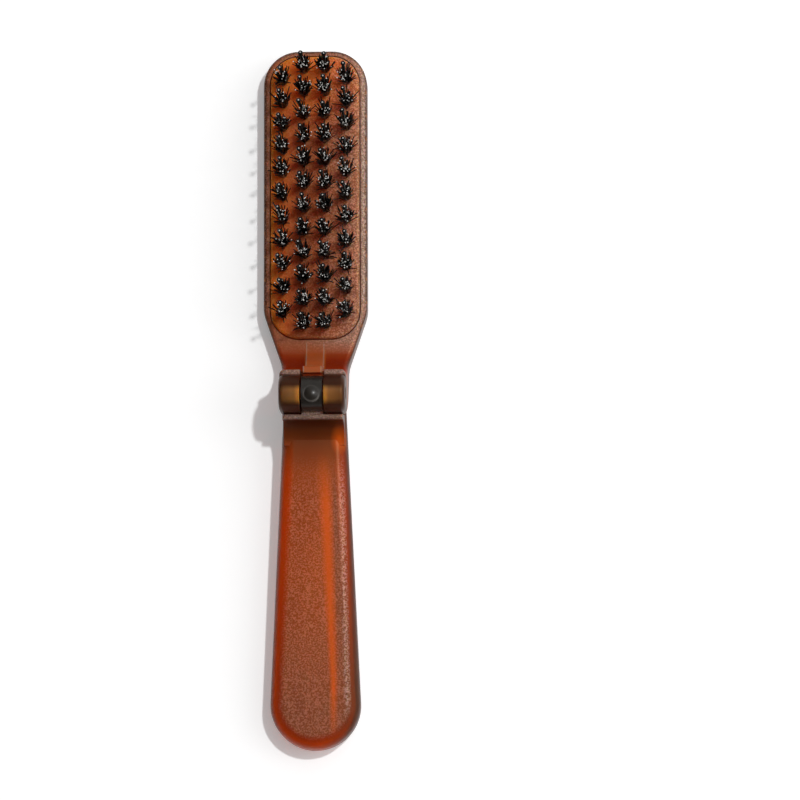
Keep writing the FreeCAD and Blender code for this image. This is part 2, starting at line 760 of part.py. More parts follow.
def make_hinge_pin(name, side):
    """Stub pin pressed into one ear, with a dimple in its outer end."""
    body = new_body(f"hinge_pin_{name}")
    inner = size("hinge_pin_split") / 2
    outer = half_hinge - size("hinge_pin_inset")
    radius = size("hinge_pin") / 2
    dimple = size("hinge_pin_dimple") / 2
    profile = new_sketch(body, f"hinge_pin_profile_{name}", "XZ_Plane")
    add_loop(profile, [
        (inner * side, pivot),
        (inner * side, pivot + radius),
        (outer * side, pivot + radius),
        (outer * side, pivot + dimple),
        ((outer - dimple) * side, pivot),
    ])
    axis = profile.addGeometry(Part.LineSegment(FreeCAD.Vector(0, pivot.value, 0),
                                                FreeCAD.Vector(outer.value, pivot.value, 0)), True)
    pin_coordinate(profile, "DistanceX", axis, 1, 0)
    pin_coordinate(profile, "DistanceY", axis, 1, pivot)
    pin_coordinate(profile, "DistanceX", axis, 2, outer)
    pin_coordinate(profile, "DistanceY", axis, 2, pivot)
    pin = body.newObject("PartDesign::Revolution", f"hinge_pin_turned_{name}")
    pin.Profile = profile
    pin.ReferenceAxis = (profile, ["Axis0"])
    return body


def arc_from(start, direction, end):
    """Arc that leaves start in this direction and ends at end."""
    chord = end - start
    along = chord.normalize() if chord.Length else chord
    length = (end - start).Length
    turn = math.acos(max(-1.0, min(1.0, direction.dot(along))))
    side = (direction - along * direction.dot(along)).normalize()
    middle = (start + end) * 0.5 + side * (length / 2 * math.tan(turn / 2))
    return Part.Arc(start, middle, end).toShape()


def section(centre, normal, radius, sides=6):
    """Closed ring of corners round a centre, square to the normal."""
    across = FreeCAD.Vector(0, 0, 1).cross(normal).normalize()
    upward = normal.cross(across)
    turns = [2 * math.pi * index / sides for index in range(sides)]
    corners = [centre + (across * math.cos(turn) + upward * math.sin(turn)) * radius for turn in turns]
    return corners + corners[:1]


def make_button_spring():
    """Coil under the stem of the button, as one tube along pairs of arcs, two for each quarter turn."""
    wire = size("spring_wire").value
    turns = size("spring_turns").value
    radius = (size("spring_width").value - wire) / 2
    floor = (pivot - size("spring_well")).value + wire / 2
    top = (pivot - size("stem_drop")).value - wire / 2
    climb = (top - floor) / turns
    slant = math.hypot(2 * math.pi * radius, climb)
    steps = round(turns * 4)

    def place(step):
        angle = step * 2 * math.pi * turns / steps
        x = radius * math.cos(angle)
        y = radius * math.sin(angle)
        spot = FreeCAD.Vector(x, button_y.value + y, floor + (top - floor) * step / steps)
        way = FreeCAD.Vector(-2 * math.pi * y, 2 * math.pi * x, climb)
        return spot, way * (1 / slant)

    edges = []
    for step in range(steps):
        start, leave = place(step)
        end, arrive = place(step + 1)
        span = end - start
        both = span.dot(leave + arrive)
        bend = 2 * (1 - leave.dot(arrive))
        reach = (math.sqrt(both * both + bend * span.dot(span)) - both) / bend
        joint = (start + end + (leave - arrive) * reach) * 0.5
        edges.append(arc_from(start, leave, joint))
        edges.append(arc_from(end, arrive * -1, joint))
    start, leave = place(0)
    ring = Part.makePolygon(section(start, leave, wire / 2))
    path = Part.Wire(Part.__sortEdges__(edges))
    coil = doc.addObject("Part::Feature", "button_spring")
    coil.Label = "button_spring"
    coil.Shape = path.makePipeShell([ring], True, False)
    coil.setExpression("Placement.Base.y", middle_to_pivot().expression)
    between_turns = climb * math.cos(math.atan2(climb, slant)) - wire
    print("least gap between turns of the spring:", round(between_turns, 3))
    return coil


def make_columns():
    """Tufts, ball pins and anchors, column by column from left to right."""
    pieces = []
    columns = (("left_outer", -1.5, "outer"), ("left_inner", -0.5, "inner"),
               ("right_inner", 0.5, "inner"), ("right_outer", 1.5, "outer"))
    for name, place, row in columns:
        x = column_pitch * place
        pieces += [make_tufts(name, x, row), make_ball_pins(name, x, row), make_anchors(name, x, row)]
    return pieces


def write_parts(pieces):
    """Check every object and every piece, then write one file per piece."""
    doc.recompute()
    for item in doc.Objects:
        if "Invalid" in item.State or "Error" in item.State:
            raise ValueError(f"{item.Name} failed: {item.State}")
    for piece in pieces:
        if piece.Shape.isNull() or not piece.Shape.isValid():
            raise ValueError(f"{piece.Label} has no valid shape")
    os.makedirs("parts", exist_ok=True)
    for piece in pieces:
        piece.Shape.exportStep(f"parts/{piece.Label}.step")


write_parts([
    make_handle(),
    make_head_frame(),
    make_bristle_plate(),
    make_hinge_pin("left", -1),
    make_hinge_pin("right", 1),
    make_release_button(),
    make_lock_pin(),
    make_button_spring(),
] + make_columns())
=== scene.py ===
"""Dresses the folding travel brush: amber plastic, black bristle tufts and ball-tipped pins."""
import json
import math
from collections import namedtuple
from functools import cache

import bpy
from bpy.props import FloatProperty, FloatVectorProperty, IntProperty, PointerProperty
from mathutils import Matrix, Vector


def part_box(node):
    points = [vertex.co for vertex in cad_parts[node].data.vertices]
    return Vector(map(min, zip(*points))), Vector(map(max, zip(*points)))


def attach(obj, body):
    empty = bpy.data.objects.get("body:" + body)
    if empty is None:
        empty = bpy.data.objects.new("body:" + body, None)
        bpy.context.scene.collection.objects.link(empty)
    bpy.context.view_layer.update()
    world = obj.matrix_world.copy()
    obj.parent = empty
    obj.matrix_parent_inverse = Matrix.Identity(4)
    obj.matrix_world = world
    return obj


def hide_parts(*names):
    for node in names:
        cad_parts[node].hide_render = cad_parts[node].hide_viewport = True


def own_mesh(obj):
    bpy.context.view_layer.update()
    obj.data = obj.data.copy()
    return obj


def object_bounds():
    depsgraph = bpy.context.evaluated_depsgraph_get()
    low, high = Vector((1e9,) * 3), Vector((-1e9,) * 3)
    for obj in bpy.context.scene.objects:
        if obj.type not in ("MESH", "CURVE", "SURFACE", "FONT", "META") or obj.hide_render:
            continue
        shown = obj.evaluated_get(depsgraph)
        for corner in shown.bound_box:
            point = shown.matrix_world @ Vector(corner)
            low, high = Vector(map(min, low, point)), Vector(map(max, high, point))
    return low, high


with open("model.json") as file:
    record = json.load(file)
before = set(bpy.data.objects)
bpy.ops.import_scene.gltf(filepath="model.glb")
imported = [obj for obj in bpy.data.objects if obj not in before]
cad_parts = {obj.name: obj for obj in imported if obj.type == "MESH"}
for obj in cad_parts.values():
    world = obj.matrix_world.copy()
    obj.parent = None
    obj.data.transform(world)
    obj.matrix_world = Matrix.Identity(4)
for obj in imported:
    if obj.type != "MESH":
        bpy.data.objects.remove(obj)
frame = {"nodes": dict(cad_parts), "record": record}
CAD_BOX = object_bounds()

bl_info = {
    "name": "Folding travel brush",
    "version": (1, 0, 0),
    "blender": (4, 5, 0),
    "location": "View3D > Sidebar > Brush",
    "description": "Gives the folding travel brush its finishes, bristles and pins, and a studio to stand in",
    "category": "Object",
}

MM = 0.001
WHITE = (1.0, 1.0, 1.0)
COLUMNS = ("left_outer", "left_inner", "right_inner", "right_outer")
INNER_COUNT = 12
SEEDS_APART = 100
Place = namedtuple("Place", "across along up")
Facing = namedtuple("Facing", "right tip up")
PLATE_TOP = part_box("bristle_plate")[1].z
TUFT_TOP = max(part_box(f"tufts_{column}")[1].z for column in COLUMNS)
PIN_TOP = max(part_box(f"ball_pins_{column}")[1].z for column in COLUMNS)
PIVOT = Vector(next(
    joint["pos_m"] for joint in frame["record"]["behaviour"]["joints"] if joint["name"] == "fold"
))

# Soft steps on the brush: where each starts and ends, in millimetres, and the share before and after it.
# Places are measured from the middle of the hinge, to the right, to the tip and up.
SPANS = {
    # Grip: places
    "grip": (-26.0, -14.0, 1.0, 0.0),
    "below the shoulder": (-20.0, -10.0, 1.0, 0.0),
    # the grip's thick shoulder gets painted shade
    "thick shoulder": (-19.0, -6.5, 0.0, 0.8),
    "towards the end": (-72.0, -30.0, 1.0, 0.0),
    # painted haze of reflected light towards the end of the grip
    "worn end": (-80.0, -45.0, 0.75, 0.0),
    "middle of the streak": (-72.0, -14.0, 4.7 * MM, 2.4 * MM),
    "half width of the streak": (-72.0, -22.0, 1.2 * MM, 2.3 * MM),
    "streak fades": (-85.0, -74.0, 0.3, 1.0),
    "depth of the light band": (-77.0, -20.0, 3.2 * MM, 1.9 * MM),
    "light band starts": (-83.0, -76.0, 0.0, 1.0),
    "right part": (3.0, 4.0, 0.0, 1.0),
    "right part of the end": (3.0, 8.0, 0.0, 0.7),
    "handle lip": (-2.4, -1.6, 0.0, 0.9),
    # Grip: distances from the streak, the outline, the light band and the glow
    "right of the streak": (0.6, 1.8, 0.0, 0.7),
    "border": (2.0, 3.6, 0.92, 0.0),
    "light band": (0.2, 1.1, 0.9, 0.0),
    "shoulder glow": (0.4, 2.4, 0.85, 0.0),
    # Head: places
    "head lip": (4.7, 5.1, 0.0, 1.0),
    "height of the head lip": (-0.9, -0.3, 0.0, 1.0),
    "neck starts": (5.0, 5.6, 0.0, 1.0),
    "pockets start": (5.5, 7.0, 0.0, 1.0),
    "pockets end": (10.5, 14.5, 1.0, 0.0),
    "short of the plate": (14.5, 15.5, 1.0, 0.0),
    "sheen on the neck": (12.0, 15.5, 0.0, 1.0),
    "neck towards the light": (-4.0, 10.0, 0.22, 0.72),
    "beyond the neck": (18.0, 26.0, 0.0, 1.0),
    "tip": (86.5, 89.5, 0.0, 0.40),
    "left rim": (-12.1, -11.2, 0.5, 0.0),
    "right rim": (11.2, 12.1, 0.0, 1.0),
    "ears": (-2.0, 0.0, 0.0, 1.0),
    "below the ears": (-12.5, -11.0, 1.0, 0.0),
    # Head: distances from the middle plane, the rib's edge, the hinge axis and the middle of a side
    "rib": (2.2, 2.5, 0.5, 0.0),
    "off the rib": (2.3, 2.6, 0.0, 1.0),
    "beside the rib": (2.5, 2.9, 0.0, 1.0),
    "edge of the rib": (0.10, 0.22, 0.7, 0.0),
    "inner end of a pin": (3.2, 4.4, 0.8, 0.0),
    "pin glow fades": (5.0, 8.2, 1.0, 0.35),
    "pin glow": (1.2, 2.5, 1.0, 0.0),
    "thick ears": (5.5, 9.5, 0.95, 0.0),
    "ends of a light gap": (0.6, 2.0, 0.2, 1.0),
    # Plate: places, the one at the tip measured from there
    "left of the plate": (-10.0, -4.0, 0.95, 0.0),
    "plate towards the light": (0.0, 10.5, 0.0, 0.75),
    "grain of the plate": (-4.0, 11.0, 0.15, 0.75),
    "tip of the plate": (-22.0, -8.0, 0.0, 0.95),
    "tip away from the light": (1.0, 9.0, 1.0, 0.3),
    # Button: distances from the ring and from its middle
    "ring": (0.1, 0.3, 1.0, 0.0),
    "lower part of the ring": (-1.2, 0.8, 0.9, 0.15),
}

# The same for plain numbers: the way a surface faces, noise, random draws and shares.
SLOPES = {
    # Facing up
    "front of the grip": (0.75, 0.95, 0.0, 1.0),
    "upper side": (0.2, 0.5, 0.0, 1.0),
    "rounded edge": (0.80, 0.995, 0.85, 0.0),
    "back": (-0.95, -0.75, 0.4, 0.0),
    "top of the head": (0.5, 0.8, 0.0, 1.0),
    "off the top and back": (0.55, 0.95, 0.95, 0.0),
    "top of a ball": (0.93, 0.985, 0.0, 0.6),
    # Facing right, or the tip
    "right edge": (0.12, 0.70, 0.0, 0.95),
    "right side": (0.62, 0.95, 0.0, 0.95),
    "left side": (-0.98, -0.62, 0.9, 0.0),
    "left outline": (-0.60, -0.15, 0.95, 0.0),
    "right outline": (0.45, 0.80, 0.0, 0.95),
    "tip outline": (0.15, 0.60, 0.0, 0.95),
    "off the sides of the ears": (0.3, 0.7, 1.0, 0.0),
    "sides of the head": (0.5, 0.8, 0.0, 1.0),
    # Shares of the streak's half width and of the pitch of the rows
    "painted_light_streak": (0.15, 1.0, 0.85, 0.0),
    "light gap": (0.03, 0.10, 0.7, 0.0),
    # Noise and random draws
    "clouds": (0.34, 0.66, 0.0, 1.0),
    "sparkle": (0.45, 0.62, 0.0, 1.0),
    "drawn lines": (0.35, 0.65, 0.0, 1.0),
    "inner bristles": (0.45, 0.8, 1.0, 0.0),
    "pale tips": (0.42, 0.58, 0.0, 1.0),
    "roughness of a bristle": (0.0, 1.0, 0.30, 0.50),
    "roughness of a pin": (0.0, 1.0, 0.06, 0.14),
}

# Outline of the grip, seen from the front
END_RADIUS = 11.4 * MM
SHOULDER_HALF_WIDTH = 8.1 * MM
SHOULDER = -6.0 * MM

# Middles of marks, measured from the hinge
GLOW_ACROSS = 6.3 * MM
GLOW_ALONG = -10.5 * MM
GLOW_FLATNESS = 0.6
PIN_GLOW_ALONG = -0.9 * MM
RIB_HALF_WIDTH = 2.2 * MM
RING_ALONG = -0.6 * MM
RING_RADIUS = 2.0 * MM
HEAD_SIDE_UP = 3.8 * MM - PIVOT.z
ROW_MARGIN = 2.0 * MM

# Strength of single marks, most of them painted light or shade
POCKET_SHARE = 0.92
LIP_SHARE = 0.9
BAND_SHEEN = 0.15
BAND_GLINTS = 0.5
RIM_GLINTS = 0.6
FRONT_GRAIN = 0.5
LIP_GRAIN = 0.6
SIDE_GRAIN = 0.12
DARK_GRAINS = 0.66
LIGHT_GRAINS = 1.4
GRAIN_SHINE = (0.30, 0.19, 0.15)
WIRE_LINES = 0.62
PIN_LINES = 2.4

# Growth of the bristles and pins
TIP_SHARPNESS = 60.0
CROWDING = 0.75
WILDNESS = 3.0
STRAIGHT_LEAN = 0.55
CURVED_LEAN = 0.45
PIN_TAPER = 0.85


def colour_property(name, description, *default):
    """A colour that a user may change."""
    return FloatVectorProperty(name=name, description=description, subtype="COLOR", default=default)


def length_property(name, description, default):
    """A length that a user may change."""
    return FloatProperty(name=name, description=description, default=default, unit="LENGTH")


class BristleSizes(bpy.types.PropertyGroup):
    """Sizes of the loose bristles in a tuft."""

    per_tuft: IntProperty(
        name="Bristles per tuft", description="Bristles that share one hole", default=90, min=1
    )
    thickness: length_property("Thickness", "Width of one bristle", 0.30 * MM)
    length: length_property("Length", "Longest bristle above the plate", TUFT_TOP - PLATE_TOP)
    sunk: length_property("Sunk", "How deep the bristles start in their hole", 1.2 * MM)
    hole_radius: length_property("Hole radius", "Bristles start within this radius", 0.9 * MM)
    splay: length_property("Splay", "How far the outermost tips lean out", 1.5 * MM)
    stray: length_property("Stray", "How far the wildest tip strays to any side", 1.8 * MM)
    shortest: FloatProperty(
        name="Shortest", description="Shortest bristle as a share of the longest", default=0.72,
        subtype="FACTOR",
    )
    seed: IntProperty(name="Seed", description="Start of the random draws", default=7)


class PinSizes(bpy.types.PropertyGroup):
    """Sizes of the ball-tipped pins."""

    shaft: length_property("Shaft", "Thickness of a pin", 0.75 * MM)
    ball: length_property("Ball", "Width of the ball at its tip", 1.3 * MM)
    length: length_property("Length", "Height of the ball's top above the plate", PIN_TOP - PLATE_TOP)
    lean: FloatProperty(
        name="Lean", description="Most that a pin leans to any side", default=math.radians(1.6),
        unit="ROTATION",
    )
    seed: IntProperty(name="Seed", description="Start of the random draws", default=21)


class SpringSizes(bpy.types.PropertyGroup):
    """Sizes of the coil under the button."""

    wire: length_property("Wire", "Thickness of the wire", 0.3 * MM)
    turns: FloatProperty(name="Turns", description="Turns of the coil", default=2.75)
    pressed: FloatProperty(
        name="Pressed", description="Height under the pressed button, as a share of the height at rest",
        default=0.62, subtype="FACTOR",
    )


class BrushColours(bpy.types.PropertyGroup):
    """Colours of the finishes."""

    amber: colour_property("Amber", "Clear parts of the amber plastic", 0.48, 0.092, 0.009)
    amber_deep: colour_property("Deep amber", "Darker clouds in the amber plastic", 0.37, 0.062, 0.006)
    # Thick amber is painted shade where the plastic is thick and little light comes through it
    thick_amber_shade: colour_property("Thick amber", "Amber plastic where it is thickest", 0.022, 0.008, 0.005)
    # Painted light: a bright stripe where light gathers along the grip, also used for the glow at the
    # shoulder
    painted_light_streak: colour_property("Streak", "Clear streak along the grip", 0.78, 0.125, 0.004)
    lit_edge: colour_property("Lit edge", "Rounded edges that light leaves through", 0.60, 0.062, 0.0006)
    lit_end: colour_property("Lit end", "Rounded edges at the end of the grip", 0.31, 0.026, 0.001)
    # Painted shade on the sides, where one looks deep into the plastic
    side_shade: colour_property("Dark side", "Sides, seen deep into the plastic", 0.060, 0.017, 0.005)
    sheen: colour_property("Sheen", "Places towards the light", 0.45, 0.295, 0.22)
    glint: colour_property("Glint", "Grains that catch the light", 0.66, 0.55, 0.48)
    # Lip: painted sheen where light catches the rounded tops of the lips at the hinge
    lip: colour_property("Lip", "Worn lips at the hinge", 0.27, 0.19, 0.16)
    # Painted haze: greyish reflected light, with a little shade, on the front of the grip and on the left rim
    painted_reflection: colour_property("Worn", "Hazy places on the front of the grip", 0.24, 0.073, 0.033)
    # Painted shade in the hollows beside the rib
    pocket_shade: colour_property("Pocket", "Hollows beside the rib", 0.27, 0.015, 0.0006)
    # Rib: painted haze of reflected light, lighter than the hollows beside it
    rib: colour_property("Rib", "Rib between the ears", 0.55, 0.16, 0.055)
    ear_glow: colour_property("Ear glow", "Light band of the pins through the ears", 0.33, 0.145, 0.040)
    between: colour_property("Between tufts", "Light between the tufts, on the sides", 0.40, 0.115, 0.014)
    golden: colour_property("Golden pins", "Pins in the hinge", 0.85, 0.34, 0.05)
    pad: colour_property("Pad", "Bristle plate", 0.46, 0.086, 0.020)
    pad_deep: colour_property("Deep pad", "Darker clouds in the bristle plate", 0.27, 0.050, 0.016)
    pad_lit: colour_property("Lit pad", "Side of the bristle plate towards the light", 0.38, 0.14, 0.082)
    pad_glow: colour_property("Glowing pad", "Ends of the plate that light comes through", 1.0, 0.155, 0.012)
    button: colour_property("Button", "Release button", 0.010, 0.0075, 0.0055)
    # Button ring: painted highlight at the foot of the button's dome
    button_ring_highlight: colour_property("Button ring", "Worn foot of the button's dome", 0.10, 0.09, 0.08)
    button_dust: colour_property("Button haze", "Worn places on the button", 0.020, 0.016, 0.012)
    bristle: colour_property("Bristle", "Root of a bristle", 0.004, 0.0035, 0.003)
    # Painted glint on the tips of bristles and on top of the balls of the pins
    tip_glint: colour_property("Bristle tip", "Tip of a bristle", 0.86, 0.84, 0.80)
    pin: colour_property("Pin", "Ball pins", 0.003, 0.0026, 0.0022)
    steel: colour_property("Steel", "Button spring", 0.56, 0.54, 0.50)
    brass: colour_property("Brass", "Wire anchors", 0.60, 0.43, 0.18)


class StageLook(bpy.types.PropertyGroup):
    """Floor, light and camera."""

    floor: colour_property("Floor", "Colour of the floor", 0.90, 0.90, 0.90)
    floor_glow: FloatProperty(
        name="Floor glow", description="Light that the floor adds for what sees it", default=0.24
    )
    key: FloatProperty(name="Key", description="Strength of the key light in watts", default=17.0)
    sky: FloatProperty(name="Sky", description="Strength of the soft light from all sides", default=0.90)
    side: FloatProperty(
        name="Side", description="Strength of the soft light on the right in watts", default=1.4
    )
    distance: length_property("Distance", "From the camera to the hinge", 1.3)
    field: length_property("Field", "Width of the view at the hinge", 0.2015)


# Node helpers

def new_node(tree, kind, **settings):
    """A node with its settings."""
    node = tree.nodes.new(kind)
    for name, value in settings.items():
        setattr(node, name, value)
    return node


def socket_in(node, name):
    """The input of that name or number that is in use."""
    if isinstance(name, int):
        return node.inputs[name]
    return next(socket for socket in node.inputs if socket.name == name and socket.enabled)


def out(node, name=None):
    """The output of that name that is in use, or the first one."""
    return next(socket for socket in node.outputs if socket.enabled and name in (None, socket.name))


def put(tree, node, name, value):
    """Links an output to an input, or sets the input to a plain value."""
    target = socket_in(node, name)
    if isinstance(value, bpy.types.NodeSocket):
        tree.links.new(value, target)
    else:
        target.default_value = value


def feed(tree, node, **values):
    """Links or sets inputs. A name's underscores stand for spaces."""
    for name, value in values.items():
        put(tree, node, name.replace("_", " "), value)
    return node


def make(tree, kind, **values):
    """The first output of a new node with these inputs."""
    return out(feed(tree, new_node(tree, kind), **values))


def math_node(tree, operation, first, second=0.0):
    """The result of a sum on one or two values."""
    node = new_node(tree, "ShaderNodeMath", operation=operation)
    put(tree, node, 0, first)
    put(tree, node, 1, second)
    return out(node)


def chain(tree, operation, values):
    """A sum on a row of values."""
    result = values[0]
    for value in values[1:]:
        result = math_node(tree, operation, result, value)
    return result


def product(tree, *values):
    """All values multiplied."""
    return chain(tree, "MULTIPLY", values)


def largest(tree, *values):
    """The largest of the values."""
    return chain(tree, "MAXIMUM", values)


def less(tree, value, other):
    """A value less another one."""
    return math_node(tree, "SUBTRACT", value, other)


def size_of(tree, value):
    """A value without its sign."""
    return math_node(tree, "ABSOLUTE", value)


def length_of(tree, first, second):
    """Length of a flat vector."""
    squares = [product(tree, part, part) for part in (first, second)]
    return math_node(tree, "SQRT", math_node(tree, "ADD", *squares))


def vector_math(tree, operation, first, second):
    """The vector result of a sum on two vectors, or on a vector and a scale."""
    node = new_node(tree, "ShaderNodeVectorMath", operation=operation)
    put(tree, node, 0, first)
    put(tree, node, "Scale" if operation == "SCALE" else 1, second)
    return out(node)


def vector_of(tree, **parts):
    """A vector from its parts."""
    return make(tree, "ShaderNodeCombineXYZ", **parts)


def parts_of(tree, vector):
    """The three parts of a vector."""
    node = new_node(tree, "ShaderNodeSeparateXYZ")
    tree.links.new(vector, node.inputs[0])
    return node.outputs


def rgba(colour):
    """A colour property or tuple with full alpha, or an output as it is."""
    return colour if isinstance(colour, bpy.types.NodeSocket) else (*colour, 1.0)


def mix_colours(tree, share, first, second):
    """Two colours mixed by a share."""
    node = new_node(tree, "ShaderNodeMix", data_type="RGBA")
    feed(tree, node, Factor=share, A=rgba(first), B=rgba(second))
    return out(node, "Result")


def lay_over(tree, colour, *layers):
    """A colour with tints laid over it in turn, each by its share."""
    for share, tint in layers:
        colour = mix_colours(tree, share, colour, tint)
    return colour


def stretch(tree, value, low, high, bottom=0.0, top=1.0):
    """A value from one range brought to another."""
    return make(
        tree, "ShaderNodeMapRange", Value=value, From_Min=low, From_Max=high, To_Min=bottom, To_Max=top
    )


def span(tree, value, name):
    """A soft step from the table of spans, for a place or a distance on the brush."""
    low, high, before, after = SPANS[name]
    return stretch(tree, value, low * MM, high * MM, before, after)


def slope(tree, value, name):
    """A soft step from the table of slopes, for a plain number."""
    return stretch(tree, value, *SLOPES[name])


def noise(tree, place, scale, detail, roughness=0.5):
    """Soft noise between 0 and 1."""
    return make(
        tree, "ShaderNodeTexNoise", Vector=place, Scale=scale, Detail=detail, Roughness=roughness
    )


def coordinates(tree, kind="Object"):
    """Places on the piece, or another kind of coordinates."""
    return out(new_node(tree, "ShaderNodeTexCoord"), kind)


def from_hinge(tree):
    """The place on the piece to the right, to the tip and up, measured from the middle of the hinge."""
    return Place(*parts_of(tree, vector_math(tree, "SUBTRACT", coordinates(tree), PIVOT)))


def facing_of(tree):
    """How far the surface faces right, the tip and up."""
    return Facing(*parts_of(tree, coordinates(tree, "Normal")))


def new_sockets(tree, direction, sockets):
    """Gives a node group its inputs or outputs."""
    for label, kind in sockets.items():
        tree.interface.new_socket(label, in_out=direction, socket_type=f"NodeSocket{kind}")


def new_group(name, kind, inputs, outputs):
    """An empty node group with its sockets, and its two end nodes."""
    tree = bpy.data.node_groups.new(name, kind)
    new_sockets(tree, "INPUT", inputs)
    new_sockets(tree, "OUTPUT", outputs)
    return tree, new_node(tree, "NodeGroupInput"), new_node(tree, "NodeGroupOutput")


def use_group(tree, group, **values):
    """A group placed in a material with its own values."""
    return feed(tree, new_node(tree, "ShaderNodeGroup", node_tree=group), **values)


def new_material(name):
    """A material with only a Principled BSDF, and its tree and shader."""
    material = bpy.data.materials.new(name)
    material.use_nodes = True
    tree = material.node_tree
    tree.nodes.clear()
    shader = new_node(tree, "ShaderNodeBsdfPrincipled")
    end = new_node(tree, "ShaderNodeOutputMaterial")
    tree.links.new(out(shader), end.inputs["Surface"])
    return material, tree, shader


def bump(tree, shader, height, strength, depth):
    """Raises the surface by a height map."""
    raised = make(tree, "ShaderNodeBump", Strength=strength, Distance=depth, Height=height)
    put(tree, shader, "Normal", raised)


def lighten_shadow(tree, shader, tint, share):
    """Lets a share of the light through on to what lies behind."""
    rays = new_node(tree, "ShaderNodeLightPath")
    tinted = new_node(tree, "ShaderNodeBsdfTransparent")
    tinted.inputs["Color"].default_value = rgba(tint)
    both = new_node(tree, "ShaderNodeMixShader")
    put(tree, both, 0, product(tree, out(rays, "Is Shadow Ray"), share))
    put(tree, both, 1, out(shader))
    put(tree, both, 2, out(tinted))
    end = next(node for node in tree.nodes if node.type == "OUTPUT_MATERIAL")
    tree.links.new(out(both), end.inputs["Surface"])


# Finishes that several materials share

@cache
def moulded_grain():
    """Fine satin grain and soft clouds of a moulded plastic."""
    tree, start, end = new_group(
        "moulded grain", "ShaderNodeTree",
        {"Clear Colour": "Color", "Deep Colour": "Color", "Thick Colour": "Color", "Thickness": "Float",
         "Grain": "Float", "Clouds": "Float", "Smooth": "Float", "Rough": "Float"},
        {"Colour": "Color", "Sparkle": "Float", "Roughness": "Float", "Height": "Float"},
    )
    place = coordinates(tree)
    flow = make(
        tree, "ShaderNodeMapping", Vector=place, Scale=(1.0, 0.28, 1.0), Rotation=(0.0, 0.0, math.radians(8))
    )
    clouds = slope(tree, noise(tree, flow, out(start, "Clouds"), detail=2.0), "clouds")
    fine = noise(tree, place, out(start, "Grain"), detail=2.0, roughness=0.6)
    colour = mix_colours(tree, clouds, out(start, "Deep Colour"), out(start, "Clear Colour"))
    # The thick colour is painted shade, laid on where the plastic is thick
    colour = mix_colours(tree, out(start, "Thickness"), colour, out(start, "Thick Colour"))
    rough = new_node(tree, "ShaderNodeMix")
    feed(tree, rough, Factor=clouds, A=out(start, "Smooth"), B=out(start, "Rough"))
    feed(
        tree, end, Colour=colour, Sparkle=slope(tree, fine, "sparkle"), Roughness=out(rough, "Result"),
        Height=fine,
    )
    return tree


@cache
def drawn_lines():
    """Fine lines along a drawn wire, as a mask and a height."""
    tree, start, end = new_group(
        "drawn lines", "ShaderNodeTree", {"Fineness": "Float"}, {"Mask": "Float", "Height": "Float"}
    )
    lengthwise = make(tree, "ShaderNodeMapping", Vector=coordinates(tree), Scale=(1.0, 0.12, 1.0))
    lines = noise(tree, lengthwise, out(start, "Fineness"), detail=4.0, roughness=0.65)
    feed(tree, end, Mask=slope(tree, lines, "drawn lines"), Height=lines)
    return tree


def plastic(name, clear, deep, grain=2300.0, clouds=60.0, smooth=0.34, rough=0.44):
    """A moulded plastic with the shared grain, and its tree, shader and grain node."""
    material, tree, shader = new_material(name)
    skin = use_group(
        tree, moulded_grain(), Clear_Colour=rgba(clear), Deep_Colour=rgba(deep), Thick_Colour=rgba(deep),
        Grain=grain, Clouds=clouds, Smooth=smooth, Rough=rough,
    )
    feed(tree, shader, Base_Color=out(skin, "Colour"), Roughness=out(skin, "Roughness"))
    bump(tree, shader, out(skin, "Height"), strength=0.35, depth=0.02 * MM)
    return material, tree, shader, skin


def sparkle_over(tree, colour, skin, share):
    """Dark grains of the satin surface, and pale grains that are painted glints of light, on top of a colour.
    """
    dark = vector_math(tree, "SCALE", colour, DARK_GRAINS)
    light = vector_math(tree, "ADD", vector_math(tree, "SCALE", colour, LIGHT_GRAINS), GRAIN_SHINE)
    return mix_colours(tree, share, colour, mix_colours(tree, out(skin, "Sparkle"), dark, light))


def glint_over(tree, shader, colour, skin, share, colours):
    """Sets pale grains on a colour where the light strikes, and gives it to the shader."""
    glints = product(tree, share, out(skin, "Sparkle"))
    put(tree, shader, "Base Color", mix_colours(tree, glints, colour, colours.glint))


def clear_amber(name, colours, thickness):
    """Clear amber plastic, with painted shade where a function of the place says that it is thick."""
    material, tree, shader, skin = plastic(name, colours.amber, colours.amber_deep)
    place = from_hinge(tree)
    feed(tree, skin, Thick_Colour=rgba(colours.thick_amber_shade), Thickness=thickness(tree, place))
    glow_inside(tree, shader, weight=0.5, scale=4.0 * MM)
    let_light_in(tree, shader, colours.amber, share=0.45)
    return material, tree, shader, skin, place


def glow_inside(tree, shader, weight, scale):
    """Lets red light spread furthest under the surface, and tints the faint sheen on it."""
    feed(
        tree, shader, Specular_IOR_Level=0.18, Specular_Tint=(1.0, 0.55, 0.32, 1.0), Subsurface_Weight=weight,
        Subsurface_Radius=(1.0, 0.28, 0.08), Subsurface_Scale=scale,
    )


def let_light_in(tree, shader, tint, share):
    """Makes a plastic see-through, and lets tinted light through it on to what lies behind."""
    feed(tree, shader, Transmission_Weight=share, IOR=1.49)
    lighten_shadow(tree, shader, tint, share)


def shade_at_thick_shoulder(tree, place):
    """Painted shade where the handle is thick below the hinge."""
    return span(tree, place.along, "thick shoulder")


def shade_at_thick_ears(tree, place):
    """Painted shade where the head frame is thick round the hinge axis, but not at the rib."""
    round_axis = span(tree, length_of(tree, place.along, place.up), "thick ears")
    return product(tree, round_axis, span(tree, size_of(tree, place.across), "off the rib"))


